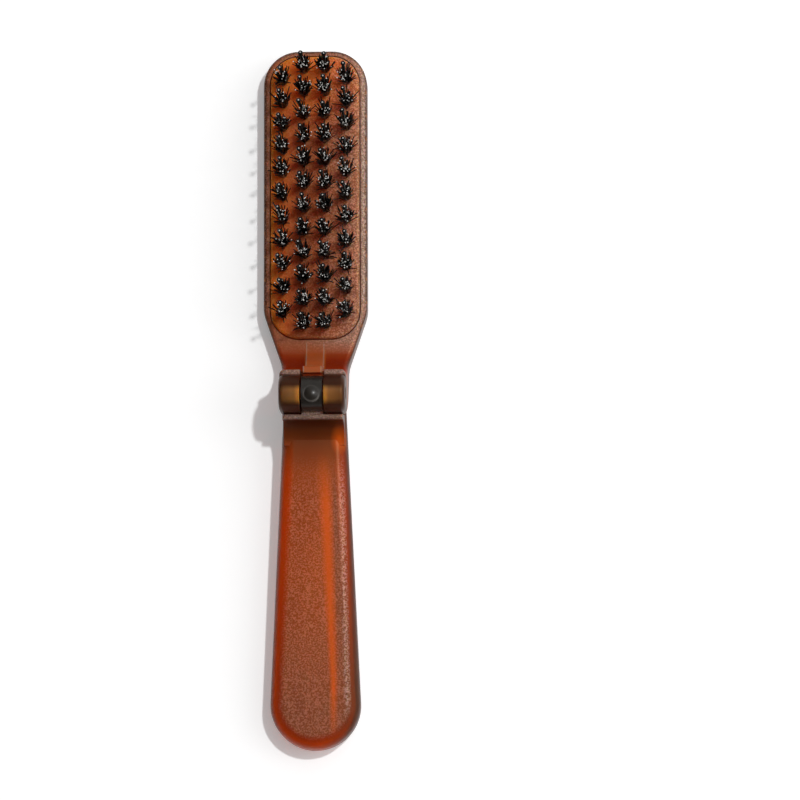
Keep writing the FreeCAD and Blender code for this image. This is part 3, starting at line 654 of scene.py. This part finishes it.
def tint_grip(tree, shader, skin, place, colours):
    """Paints light and shade on the front of the grip: a bright stripe, a glowing border and a glow at the
    shoulder of painted light, a painted highlight band, painted haze of reflected light, painted sheen on the
    lip, and grain.
    """
    across, along, up = place
    facing = facing_of(tree)
    upwards = facing.up
    in_front = slope(tree, upwards, "front of the grip")
    on_grip = span(tree, along, "grip")
    downwards = span(tree, along, "towards the end")
    inside = inside_outline(tree, across, along)

    # Painted light: a bright stripe along the front of the grip
    off_line = less(tree, across, span(tree, along, "middle of the streak"))
    near_line = math_node(
        tree, "DIVIDE", size_of(tree, off_line), span(tree, along, "half width of the streak")
    )
    painted_light_streak = product(
        tree, slope(tree, near_line, "painted_light_streak"), in_front, on_grip, span(tree, along, "streak fades")
    )
    # Painted haze of reflected light right of the bright stripe and towards the end
    haze = largest(tree, span(tree, off_line, "right of the streak"), span(tree, along, "worn end"))
    haze = product(tree, haze, in_front, on_grip)
    # Painted glow along the outline of the grip, with painted shade at the right of its end
    border = product(tree, span(tree, inside, "border"), span(tree, along, "below the shoulder"))
    right_end = product(tree, downwards, span(tree, across, "right part of the end"))
    clear = lay_over(tree, colours.lit_edge, (downwards, colours.lit_end), (right_end, colours.side_shade))
    colour = lay_over(
        tree, out(skin, "Colour"), (haze, colours.painted_reflection), (painted_light_streak, colours.painted_light_streak), (border, clear)
    )
    colour = paint_edge_glow_and_shade(tree, colour, facing, on_grip, downwards, colours)

    # Painted glow where light gathers at the shoulder
    glow = product(tree, glow_at_shoulder(tree, across, along), slope(tree, upwards, "upper side"))
    # Painted highlight band on the right of the front, with painted sheen and glints
    off_band = size_of(tree, less(tree, inside, span(tree, along, "depth of the light band")))
    band = product(
        tree, span(tree, off_band, "light band"), span(tree, across, "right part"),
        span(tree, along, "light band starts"), on_grip,
    )
    # Painted sheen on the handle's lip
    lip_sheen = span(tree, up, "handle lip")
    colour = lay_over(
        tree, colour, (glow, colours.painted_light_streak), (product(tree, band, BAND_SHEEN), colours.sheen),
        (lip_sheen, colours.lip),
    )
    plain = less(tree, 1.0, largest(tree, border, painted_light_streak))
    grainy = largest(
        tree, product(tree, plain, in_front, on_grip, FRONT_GRAIN), band, product(tree, lip_sheen, LIP_GRAIN),
        slope(tree, upwards, "back"),
    )
    colour = sparkle_over(tree, colour, skin, grainy)
    glint_over(tree, shader, colour, skin, product(tree, band, BAND_GLINTS), colours)


def inside_outline(tree, across, along):
    """How far inside the outline of the grip a place is, seen from the front."""
    end_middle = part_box("handle")[0].y + END_RADIUS - PIVOT.y
    half = stretch(tree, along, end_middle, SHOULDER, END_RADIUS, SHOULDER_HALF_WIDTH)
    beyond = math_node(tree, "MINIMUM", less(tree, along, end_middle), 0.0)
    return less(tree, half, length_of(tree, across, beyond))


def paint_edge_glow_and_shade(tree, colour, facing, on_grip, downwards, colours):
    """Paints glow on the rounded edges where light leaves the plastic, and painted shade on its sides."""
    rounding = product(tree, slope(tree, facing.up, "rounded edge"), on_grip)
    deep = mix_colours(tree, downwards, colours.lit_end, colours.side_shade)
    side = largest(tree, slope(tree, facing.right, "right side"), slope(tree, facing.right, "left side"))
    return lay_over(
        tree, colour, (rounding, colours.lit_edge), (slope(tree, facing.right, "right edge"), deep),
        (side, colours.side_shade),
    )


def glow_at_shoulder(tree, across, along):
    """Light that gathers at the right end of the shoulder."""
    lengthwise = product(tree, less(tree, along, GLOW_ALONG), GLOW_FLATNESS)
    return span(tree, length_of(tree, less(tree, across, GLOW_ACROSS), lengthwise), "shoulder glow")


def tint_head(tree, shader, skin, place, colours):
    """Paints shade in the hollows beside the rib and on the sides, painted sheen and haze on the rims, the
    rib and the lips, painted highlights on the rib's edges, and painted light in the ears where a pin is and
    between the tufts.
    """
    across, along, up = place
    facing = facing_of(tree)
    upwards = facing.up
    aside = size_of(tree, across)

    beside_rib = span(tree, aside, "beside the rib")
    pockets_end = span(tree, along, "pockets end")
    # Painted haze of reflected light on the rib
    rib_haze = product(tree, span(tree, aside, "rib"), pockets_end)
    # Painted shade in the hollows beside the rib
    pocket_shade = product(tree, beside_rib, span(tree, along, "pockets start"), pockets_end, POCKET_SHARE)
    # Painted highlights along the rib's edges
    off_edge = size_of(tree, less(tree, aside, RIB_HALF_WIDTH))
    rib_edge_highlight = product(
        tree, span(tree, off_edge, "edge of the rib"), span(tree, along, "neck starts"),
        span(tree, along, "short of the plate"),
    )
    # Painted sheen on the head's lip
    lip_sheen = product(
        tree, span(tree, up, "height of the head lip"), span(tree, along, "head lip"), beside_rib, LIP_SHARE
    )

    # Painted sheen on the right rim, the tip and the neck
    rim = span(tree, across, "right rim")
    beyond = span(tree, along, "beyond the neck")
    on_top = slope(tree, upwards, "top of the head")
    neck = product(tree, span(tree, along, "sheen on the neck"), span(tree, across, "neck towards the light"))
    edges = product(tree, largest(tree, rim, span(tree, along, "tip")), beyond)
    sheen = product(tree, largest(tree, edges, neck), on_top)
    # Painted haze of reflected light on the left rim
    left_rim_haze = product(tree, span(tree, across, "left rim"), beyond, on_top)
    # Painted shade on the sides of the head and along its outline
    side = product(tree, shaded_sides(tree, facing, beyond), span(tree, up, "below the ears"))
    glow = mix_colours(tree, span(tree, aside, "inner end of a pin"), colours.ear_glow, colours.golden)
    colour = lay_over(
        tree, out(skin, "Colour"), (rib_haze, colours.rib), (pocket_shade, colours.pocket_shade), (rib_edge_highlight, colours.sheen),
        (lip_sheen, colours.lip), (left_rim_haze, colours.painted_reflection), (sheen, colours.sheen), (side, colours.side_shade),
        (light_between_tufts(tree, place, facing), colours.between),
        (pin_in_ear(tree, place, facing, aside), glow),
    )

    grainy = largest(
        tree, sheen, left_rim_haze, product(tree, lip_sheen, LIP_GRAIN), product(tree, side, SIDE_GRAIN),
        slope(tree, upwards, "back"),
    )
    colour = sparkle_over(tree, colour, skin, grainy)
    glint_over(tree, shader, colour, skin, product(tree, rim, beyond, on_top, RIM_GLINTS), colours)


def shaded_sides(tree, facing, beyond):
    """Where the head gets painted shade: its sides, and beyond the neck also the rounded edges that lead to
    them.
    """
    outline = largest(
        tree, slope(tree, facing.right, "left outline"), slope(tree, facing.tip, "tip outline"),
        slope(tree, facing.right, "right outline"),
    )
    side = slope(tree, size_of(tree, facing.up), "off the top and back")
    return largest(tree, side, product(tree, outline, beyond))


def pin_in_ear(tree, place, facing, aside):
    """Where a hinge pin shows through an ear as a band of light."""
    band = span(tree, size_of(tree, less(tree, place.along, PIN_GLOW_ALONG)), "pin glow")
    off_sides = slope(tree, size_of(tree, facing.right), "off the sides of the ears")
    return product(tree, band, off_sides, span(tree, place.up, "ears"), span(tree, aside, "pin glow fades"))


def light_between_tufts(tree, place, facing):
    """Bands on the sides of the head where light passes between two tufts."""
    first, pitch = rows_of("left_inner")[:2]
    low, high = (corner.y - PIVOT.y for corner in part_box("ball_pins_left_inner"))
    rows = math_node(tree, "DIVIDE", less(tree, place.along, first - PIVOT.y), pitch)
    off_row = size_of(tree, less(tree, rows, math_node(tree, "ROUND", rows)))
    off_middle = size_of(tree, less(tree, place.up, HEAD_SIDE_UP))
    return product(
        tree, slope(tree, off_row, "light gap"), span(tree, off_middle, "ends of a light gap"),
        slope(tree, size_of(tree, facing.right), "sides of the head"),
        stretch(tree, place.along, low - ROW_MARGIN, low),
        stretch(tree, place.along, high, high + ROW_MARGIN, bottom=1.0, top=0.0),
    )


def tint_plate(tree, shader, skin, colours):
    """Paints light coming through at the left and the tip of the plate, and a painted haze on its right."""
    place = from_hinge(tree)
    lit = span(tree, place.across, "plate towards the light")
    from_tip = less(tree, place.along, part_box("bristle_plate")[1].y - PIVOT.y)
    at_tip = product(
        tree, span(tree, from_tip, "tip of the plate"), span(tree, place.across, "tip away from the light")
    )
    glow = largest(tree, span(tree, place.across, "left of the plate"), at_tip)
    colour = lay_over(tree, out(skin, "Colour"), (lit, colours.pad_lit), (glow, colours.pad_glow))
    grainy = span(tree, place.across, "grain of the plate")
    put(tree, shader, "Base Color", sparkle_over(tree, colour, skin, grainy))


def ring_highlight_on_button(tree, shader, skin, colours):
    """Paints a highlight on the foot of the dome on the button, most of all towards the handle."""
    place = from_hinge(tree)
    lengthwise = less(tree, place.along, RING_ALONG)
    off_ring = size_of(tree, less(tree, length_of(tree, lengthwise, place.across), RING_RADIUS))
    share = product(tree, span(tree, off_ring, "ring"), span(tree, lengthwise, "lower part of the ring"))
    put(tree, shader, "Base Color", mix_colours(tree, share, out(skin, "Colour"), colours.button_ring_highlight))


def wire_metal(name, colour, smooth, rough):
    """A drawn metal wire."""
    material, tree, shader = new_material(name)
    lines = use_group(tree, drawn_lines(), Fineness=9000.0)
    mask = out(lines, "Mask")
    darker = tuple(WIRE_LINES * part for part in colour)
    feed(
        tree, shader, Base_Color=mix_colours(tree, mask, darker, colour),
        Roughness=stretch(tree, mask, 0.0, 1.0, rough, smooth), Metallic=1.0,
    )
    bump(tree, shader, out(lines, "Height"), strength=0.25, depth=0.01 * MM)
    return material


def bristle_material(colours):
    """Black bristle, some with a painted glint on its tip."""
    material, tree, shader = new_material("bristle")
    along, shade = (
        out(new_node(tree, "ShaderNodeAttribute", attribute_name=name), "Fac") for name in ("along", "shade")
    )
    # Painted glints on the tips of some inner bristles
    painted_reflection = product(tree, math_node(tree, "POWER", along, TIP_SHARPNESS), slope(tree, shade, "pale tips"))
    feed(
        tree, shader, Base_Color=mix_colours(tree, painted_reflection, colours.bristle, colours.tip_glint),
        Roughness=slope(tree, shade, "roughness of a bristle"), Specular_IOR_Level=0.14,
    )
    lighten_shadow(tree, shader, WHITE, share=0.8)
    return material


def pin_material(colours):
    """Smooth black nylon with faint drawing lines and a painted glint on top of the ball."""
    material, tree, shader = new_material("pin nylon")
    mask = out(use_group(tree, drawn_lines(), Fineness=5000.0), "Mask")
    paler = tuple(PIN_LINES * part for part in colours.pin)
    colour = mix_colours(tree, mask, colours.pin, paler)
    on_top = slope(tree, facing_of(tree).up, "top of a ball")
    feed(
        tree, shader, Base_Color=mix_colours(tree, on_top, colour, colours.tip_glint),
        Roughness=slope(tree, mask, "roughness of a pin"), Specular_IOR_Level=0.06,
    )
    lighten_shadow(tree, shader, WHITE, share=0.7)
    return material


def coat_node(node, material):
    """Gives a CAD node its material."""
    mesh = frame["nodes"][node].data
    mesh.materials.clear()
    mesh.materials.append(material)


# Tufts, pins and spring

def rows_of(column):
    """Where a column's first pin is along the brush, the pitch, how many there are, and where across."""
    low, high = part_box(f"ball_pins_{column}")
    count = INNER_COUNT if column.endswith("inner") else INNER_COUNT - 1
    radius = (high.x - low.x) / 2
    pitch = (high.y - low.y - 2 * radius) / (count - 1)
    return low.y + radius, pitch, count, (low.x + high.x) / 2


def column_points(name, column):
    """One vertex on the plate for each hole of a column, as a mesh."""
    first, pitch, count, middle = rows_of(column)
    mesh = bpy.data.meshes.new(name)
    mesh.from_pydata([(middle, first + row * pitch, PLATE_TOP) for row in range(count)], [], [])
    return mesh


def geometry_tree(name, numbers, lengths):
    """An empty geometry tree with its named inputs, and its two end nodes."""
    inputs = {"Geometry": "Geometry"}
    inputs.update((label, "Int") for label in numbers)
    inputs.update((label, "Float") for label in lengths)
    inputs["Material"] = "Material"
    return new_group(name, "GeometryNodeTree", inputs, {"Geometry": "Geometry"})


def draw(tree, low, high, seed, offset):
    """A random value for each point."""
    node = new_node(tree, "FunctionNodeRandomValue", data_type="FLOAT")
    feed(tree, node, Min=low, Max=high, Seed=math_node(tree, "ADD", seed, offset))
    return out(node, "Value")


def flat_vector(tree, angle, length):
    """A vector in the plane of the plate."""
    return vector_of(
        tree, X=product(tree, math_node(tree, "COSINE", angle), length),
        Y=product(tree, math_node(tree, "SINE", angle), length),
    )


def keep_value(tree, geometry, name, value, kind="FLOAT"):
    """Stores a value on every point of a geometry."""
    node = new_node(tree, "GeometryNodeStoreNamedAttribute", data_type=kind, domain="POINT")
    return out(feed(tree, node, Geometry=geometry, Name=name, Value=value))


def kept_value(tree, name, kind="FLOAT"):
    """Reads a stored value."""
    node = new_node(tree, "GeometryNodeInputNamedAttribute", data_type=kind)
    return out(feed(tree, node, Name=name), "Attribute")


def plant(tree, points, instance, **placing):
    """Sets a copy on every point and makes the copies real."""
    copies = make(tree, "GeometryNodeInstanceOnPoints", Points=points, Instance=instance, **placing)
    return make(tree, "GeometryNodeRealizeInstances", Geometry=copies)


def paint(tree, start, end, geometry):
    """Ends a geometry tree with its material."""
    painted = make(tree, "GeometryNodeSetMaterial", Geometry=geometry, Material=out(start, "Material"))
    tree.links.new(painted, end.inputs["Geometry"])


def cone(tree, sides, segments, top, bottom, height):
    """A tapered shaft that stands on the origin."""
    node = new_node(tree, "GeometryNodeMeshCone", fill_type="NGON")
    feed(
        tree, node, Vertices=sides, Side_Segments=segments, Radius_Top=top, Radius_Bottom=bottom, Depth=height
    )
    return out(node, "Mesh")


def bristle_tree():
    """Geometry nodes that grow a splayed tuft on every point."""
    tree, start, end = geometry_tree(
        "bristle tufts", ("Count", "Seed"),
        ("Length", "Sunk", "Thickness", "Hole Radius", "Splay", "Stray", "Shortest"),
    )
    seed = out(start, "Seed")
    sunk = out(start, "Sunk")
    whole = math_node(tree, "ADD", out(start, "Length"), sunk)

    copies = new_node(tree, "GeometryNodeDuplicateElements", domain="POINT")
    feed(tree, copies, Geometry=out(start, "Geometry"), Amount=out(start, "Count"))
    angle = draw(tree, 0.0, math.tau, seed, 0)
    reach = math_node(tree, "POWER", draw(tree, 0.0, 1.0, seed, 1), CROWDING)
    outwards = flat_vector(tree, angle, reach)
    wildness = math_node(tree, "POWER", draw(tree, 0.0, 1.0, seed, 3), WILDNESS)
    stray = flat_vector(tree, draw(tree, 0.0, math.tau, seed, 2), wildness)
    lean = vector_math(
        tree, "ADD", vector_math(tree, "SCALE", outwards, out(start, "Splay")),
        vector_math(tree, "SCALE", stray, out(start, "Stray")),
    )
    shade = product(tree, draw(tree, 0.0, 1.0, seed, 4), slope(tree, reach, "inner bristles"))
    roots = keep_value(tree, out(copies), "lean", lean, "FLOAT_VECTOR")
    roots = keep_value(tree, roots, "shade", shade)
    down = vector_of(tree, Z=product(tree, sunk, -1.0))
    aside = vector_math(tree, "SCALE", outwards, out(start, "Hole Radius"))
    roots = make(
        tree, "GeometryNodeSetPosition", Geometry=roots, Offset=vector_math(tree, "ADD", down, aside)
    )

    half = product(tree, out(start, "Thickness"), 0.5)
    blade = cone(tree, sides=4, segments=4, top=half, bottom=half, height=whole)
    height = parts_of(tree, out(new_node(tree, "GeometryNodeInputPosition")))[2]
    blade = keep_value(tree, blade, "along", math_node(tree, "DIVIDE", height, whole))
    tuft = plant(
        tree, roots, blade, Rotation=vector_of(tree, Z=angle),
        Scale=vector_of(tree, X=1.0, Y=1.0, Z=draw(tree, out(start, "Shortest"), 1.0, seed, 5)),
    )

    along = kept_value(tree, "along")
    curved = product(tree, along, along, CURVED_LEAN)
    bend = math_node(tree, "ADD", product(tree, along, STRAIGHT_LEAN), curved)
    offset = vector_math(tree, "SCALE", kept_value(tree, "lean", "FLOAT_VECTOR"), bend)
    paint(tree, start, end, make(tree, "GeometryNodeSetPosition", Geometry=tuft, Offset=offset))
    return tree


def pin_tree():
    """Geometry nodes that set a ball-tipped pin on every point."""
    tree, start, end = geometry_tree("ball pins", ("Seed",), ("Length", "Shaft", "Ball", "Lean"))
    seed = out(start, "Seed")
    radius = product(tree, out(start, "Ball"), 0.5)
    height = less(tree, out(start, "Length"), radius)
    half = product(tree, out(start, "Shaft"), 0.5)
    shaft = cone(tree, sides=8, segments=1, top=product(tree, half, PIN_TAPER), bottom=half, height=height)
    ball = make(tree, "GeometryNodeMeshUVSphere", Segments=10, Rings=6, Radius=radius)
    ball = make(tree, "GeometryNodeTransform", Geometry=ball, Translation=vector_of(tree, Z=height))
    joined = new_node(tree, "GeometryNodeJoinGeometry")
    for piece in (shaft, ball):
        tree.links.new(piece, joined.inputs[0])
    pin = make(tree, "GeometryNodeSetShadeSmooth", Geometry=out(joined))

    most = out(start, "Lean")
    least = product(tree, most, -1.0)
    turn = vector_of(
        tree, X=draw(tree, least, most, seed, 0), Y=draw(tree, least, most, seed, 1),
        Z=draw(tree, 0.0, math.tau, seed, 2),
    )
    paint(tree, start, end, plant(tree, out(start, "Geometry"), pin, Rotation=turn))
    return tree


def spring_tree():
    """Geometry nodes that stand a coil of wire on every point."""
    tree, start, end = geometry_tree("spring coil", (), ("Turns", "Radius", "Rise", "Wire"))
    radius = out(start, "Radius")
    line = make(
        tree, "GeometryNodeCurveSpiral", Resolution=20, Rotations=out(start, "Turns"), Start_Radius=radius,
        End_Radius=radius, Height=out(start, "Rise"),
    )
    ring = new_node(tree, "GeometryNodeCurvePrimitiveCircle", mode="RADIUS")
    feed(tree, ring, Resolution=8, Radius=product(tree, out(start, "Wire"), 0.5))
    tube = make(tree, "GeometryNodeCurveToMesh", Curve=line, Profile_Curve=out(ring), Fill_Caps=True)
    paint(tree, start, end, plant(tree, out(start, "Geometry"), tube))
    return tree


def grow(name, points, tree, values):
    """Runs a geometry tree on a mesh of points and keeps the result as a plain mesh."""
    obj = bpy.data.objects.new(name, points)
    bpy.context.scene.collection.objects.link(obj)
    modifier = obj.modifiers.new("grow", "NODES")
    modifier.node_group = tree
    for item in tree.interface.items_tree:
        if item.item_type == "SOCKET" and item.in_out == "INPUT" and item.name in values:
            modifier[item.identifier] = values[item.name]
    graph = bpy.context.evaluated_depsgraph_get()
    mesh = bpy.data.meshes.new_from_object(obj.evaluated_get(graph), depsgraph=graph)
    mesh.name = name
    obj.modifiers.remove(modifier)
    obj.data = mesh
    bpy.data.meshes.remove(points)
    if not mesh.polygons:
        raise RuntimeError(f"{name} came out empty")
    return obj


# Operators

class BRUSH_OT_amber_parts(bpy.types.Operator):
    """Gives the handle, the head frame and the pins in the hinge their amber plastic"""

    bl_idname = "brush.amber_parts"
    bl_label = "Amber parts"

    def execute(self, context):
        colours = context.scene.brush_colours
        grip, tree, shader, skin, place = clear_amber("amber handle", colours, shade_at_thick_shoulder)
        tint_grip(tree, shader, skin, place, colours)
        coat_node("handle", grip)
        head, tree, shader, skin, place = clear_amber("amber head", colours, shade_at_thick_ears)
        tint_head(tree, shader, skin, place, colours)
        coat_node("head_frame", head)
        golden, tree, shader = plastic("golden pins", colours.golden, colours.amber)[:3]
        let_light_in(tree, shader, colours.golden, share=0.5)
        for node in ("hinge_pin_left", "hinge_pin_right", "lock_pin"):
            coat_node(node, golden)
        return {"FINISHED"}


class BRUSH_OT_bristle_plate(bpy.types.Operator):
    """Gives the bristle plate its amber, with painted glow at the left and the tip"""

    bl_idname = "brush.bristle_plate"
    bl_label = "Bristle plate"

    def execute(self, context):
        colours = context.scene.brush_colours
        material, tree, shader, skin = plastic("amber pad", colours.pad, colours.pad_deep, clouds=90.0)
        tint_plate(tree, shader, skin, colours)
        glow_inside(tree, shader, weight=0.75, scale=12.0 * MM)
        let_light_in(tree, shader, colours.pad, share=0.15)
        coat_node("bristle_plate", material)
        return {"FINISHED"}


class BRUSH_OT_button(bpy.types.Operator):
    """Gives the release button its glossy black"""

    bl_idname = "brush.button"
    bl_label = "Release button"

    def execute(self, context):
        colours = context.scene.brush_colours
        material, tree, shader, skin = plastic(
            "black plastic", colours.button, colours.button_dust, grain=3200.0, clouds=400.0, smooth=0.26,
            rough=0.36,
        )
        shader.inputs["Specular IOR Level"].default_value = 0.34
        ring_highlight_on_button(tree, shader, skin, colours)
        coat_node("release_button", material)
        return {"FINISHED"}


class BRUSH_OT_spring(bpy.types.Operator):
    """Winds the steel spring under the button"""

    bl_idname = "brush.spring"
    bl_label = "Button spring"

    def execute(self, context):
        sizes = context.scene.brush_spring
        low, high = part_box("button_spring")
        foot = Vector(((low.x + high.x) / 2, (low.y + high.y) / 2, low.z + sizes.wire / 2))
        points = bpy.data.meshes.new("spring_foot")
        points.from_pydata([foot], [], [])
        steel = wire_metal("spring steel", context.scene.brush_colours.steel, smooth=0.22, rough=0.40)
        values = {
            "Turns": sizes.turns, "Radius": (high.x - low.x - sizes.wire) / 2,
            "Rise": high.z - low.z - sizes.wire, "Wire": sizes.wire, "Material": steel,
        }
        coil = grow("spring_coil", points, spring_tree(), values)
        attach(coil, "handle")
        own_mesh(coil)
        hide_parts("button_spring")
        return {"FINISHED"}


class BRUSH_OT_anchors(bpy.types.Operator):
    """Gives the wire anchors in the tuft holes their brass"""

    bl_idname = "brush.anchors"
    bl_label = "Wire anchors"

    def execute(self, context):
        brass = wire_metal("brass wire", context.scene.brush_colours.brass, smooth=0.26, rough=0.44)
        for column in COLUMNS:
            coat_node(f"anchors_{column}", brass)
        return {"FINISHED"}


class BRUSH_OT_bristles(bpy.types.Operator):
    """Grows loose bristles in place of the solid tufts"""

    bl_idname = "brush.bristles"
    bl_label = "Bristle tufts"

    def execute(self, context):
        sizes = context.scene.brush_bristles
        material = bristle_material(context.scene.brush_colours)
        tree = bristle_tree()
        for number, column in enumerate(COLUMNS):
            values = {
                "Count": sizes.per_tuft, "Seed": sizes.seed + SEEDS_APART * number, "Length": sizes.length,
                "Sunk": sizes.sunk, "Thickness": sizes.thickness, "Hole Radius": sizes.hole_radius,
                "Splay": sizes.splay, "Stray": sizes.stray, "Shortest": sizes.shortest, "Material": material,
            }
            name = f"bristles_{column}"
            piece = grow(name, column_points(name + "_roots", column), tree, values)
            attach(piece, "head")
            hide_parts(f"tufts_{column}")
        return {"FINISHED"}


class BRUSH_OT_ball_pins(bpy.types.Operator):
    """Sets round ball-tipped pins in place of the six-sided ones"""

    bl_idname = "brush.ball_pins"
    bl_label = "Ball pins"

    def execute(self, context):
        sizes = context.scene.brush_pins
        material = pin_material(context.scene.brush_colours)
        tree = pin_tree()
        for number, column in enumerate(COLUMNS):
            values = {
                "Seed": sizes.seed + SEEDS_APART * number, "Length": sizes.length, "Shaft": sizes.shaft,
                "Ball": sizes.ball, "Lean": sizes.lean, "Material": material,
            }
            name = f"pins_{column}"
            piece = grow(name, column_points(name + "_roots", column), tree, values)
            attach(piece, "head")
            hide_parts(f"ball_pins_{column}")
        return {"FINISHED"}


class BRUSH_OT_stage(bpy.types.Operator):
    """Lays the floor and sets the lights and the camera"""

    bl_idname = "brush.stage"
    bl_label = "Studio"

    def execute(self, context):
        look = context.scene.brush_stage
        lay_floor(context.scene, look)
        light_stage(context.scene, look)
        aim_camera(context.scene, look)
        context.scene.view_settings.view_transform = "Standard"
        return {"FINISHED"}


# Stage

def lay_floor(scene, look):
    """A wide pale floor that looks white and keeps the shadow."""
    reach, gap, paper_shade = 4.0, 0.02 * MM, 0.985
    below = CAD_BOX[0].z - gap
    corners = [(-reach, -reach), (reach, -reach), (reach, reach), (-reach, reach)]
    mesh = bpy.data.meshes.new("floor")
    mesh.from_pydata([(x, y, below) for x, y in corners], [], [(0, 1, 2, 3)])
    floor = bpy.data.objects.new("floor", mesh)
    scene.collection.objects.link(floor)
    material, tree, shader = new_material("studio floor")
    paper = noise(tree, coordinates(tree), scale=220.0, detail=4.0)
    darker = tuple(paper_shade * part for part in look.floor)
    rays = new_node(tree, "ShaderNodeLightPath")
    seen = largest(
        tree, out(rays, "Is Camera Ray"), out(rays, "Is Glossy Ray"), out(rays, "Is Transmission Ray")
    )
    feed(
        tree, shader, Base_Color=mix_colours(tree, paper, darker, look.floor), Roughness=0.9,
        Specular_IOR_Level=0.0, Emission_Color=rgba(WHITE),
        Emission_Strength=product(tree, seen, look.floor_glow),
    )
    mesh.materials.append(material)


def light_stage(scene, look):
    """A key light from the upper right, a soft one on the right, and a room darker to the lower left."""
    hang_lamp(
        scene, "key", towards=(0.33, 0.21, 1.0), distance=1.8, shape="DISK", size=(0.08, 0.08), watts=look.key
    )
    hang_lamp(
        scene, "side", towards=(0.85, 0.0, 0.55), distance=1.0, shape="RECTANGLE", size=(0.5, 1.0),
        watts=look.side,
    )
    bright_side = Vector((0.85, 0.53, 0.0)).normalized()
    darkest = 0.11
    world = bpy.data.worlds.new("studio")
    world.use_nodes = True
    tree = world.node_tree
    background = tree.nodes["Background"]
    towards = new_node(tree, "ShaderNodeVectorMath", operation="DOT_PRODUCT")
    put(tree, towards, 0, coordinates(tree, "Generated"))
    put(tree, towards, 1, bright_side)
    strength = stretch(
        tree, out(towards, "Value"), low=-0.35, high=0.75, bottom=darkest * look.sky, top=look.sky
    )
    feed(tree, background, Color=rgba(WHITE), Strength=strength)
    scene.world = world


def hang_lamp(scene, name, towards, distance, shape, size, watts):
    """An area lamp that faces the hinge."""
    lamp = bpy.data.lights.new(name, "AREA")
    lamp.shape = shape
    lamp.size = size[0]
    if shape == "RECTANGLE":
        lamp.size_y = size[1]
    lamp.energy = watts
    towards = Vector(towards).normalized()
    obj = bpy.data.objects.new(name, lamp)
    obj.location = PIVOT + distance * towards
    obj.rotation_mode = "QUATERNION"
    obj.rotation_quaternion = towards.to_track_quat("Z", "Y")
    scene.collection.objects.link(obj)


def aim_camera(scene, look):
    """A long lens high above the hinge, tilted a little towards the handle."""
    back = Vector((0.04, -0.152, 0.988)).normalized()
    roll = Vector((0.003, 1.0, 0.0))
    right_of_hinge, below_hinge = 22.1 * MM, 1.66 * MM
    right = roll.cross(back).normalized()
    up = back.cross(right)
    target = PIVOT + right_of_hinge * right - below_hinge * up
    data = bpy.data.cameras.new("camera")
    data.sensor_width = 36.0
    data.lens = data.sensor_width * look.distance / look.field
    data.clip_end = 20.0
    camera = bpy.data.objects.new("camera", data)
    turn = Matrix((right, up, back)).transposed().to_4x4()
    camera.matrix_world = Matrix.Translation(target + look.distance * back) @ turn
    scene.collection.objects.link(camera)
    scene.camera = camera


class BRUSH_PT_panel(bpy.types.Panel):
    """Lists the sizes, the colours and the steps that dress the brush"""

    bl_idname = "BRUSH_PT_panel"
    bl_label = "Folding travel brush"
    bl_space_type = "VIEW_3D"
    bl_region_type = "UI"
    bl_category = "Brush"

    def draw(self, context):
        for group in (getattr(context.scene, name) for name in GROUPS):
            box = self.layout.box()
            for name in group.__annotations__:
                box.prop(group, name)
        for step in STEPS:
            self.layout.operator(step.bl_idname)


GROUPS = {
    "brush_bristles": BristleSizes,
    "brush_pins": PinSizes,
    "brush_spring": SpringSizes,
    "brush_colours": BrushColours,
    "brush_stage": StageLook,
}
STEPS = (
    BRUSH_OT_amber_parts, BRUSH_OT_bristle_plate, BRUSH_OT_button, BRUSH_OT_spring, BRUSH_OT_anchors,
    BRUSH_OT_bristles, BRUSH_OT_ball_pins, BRUSH_OT_stage,
)


def register():
    """Adds the classes and the scene's properties."""
    for name, group in GROUPS.items():
        bpy.utils.register_class(group)
        setattr(bpy.types.Scene, name, PointerProperty(type=group))
    for step in (*STEPS, BRUSH_PT_panel):
        bpy.utils.register_class(step)


def unregister():
    """Takes them out again."""
    for step in reversed((*STEPS, BRUSH_PT_panel)):
        bpy.utils.unregister_class(step)
    for name, group in GROUPS.items():
        delattr(bpy.types.Scene, name)
        bpy.utils.unregister_class(group)


def main():
    """Dresses the brush."""
    register()
    bpy.ops.brush.amber_parts()
    bpy.ops.brush.bristle_plate()
    bpy.ops.brush.button()
    bpy.ops.brush.spring()
    bpy.ops.brush.anchors()
    bpy.ops.brush.bristles()
    bpy.ops.brush.ball_pins()
    bpy.ops.brush.stage()


if __name__ == "__main__":
    main()
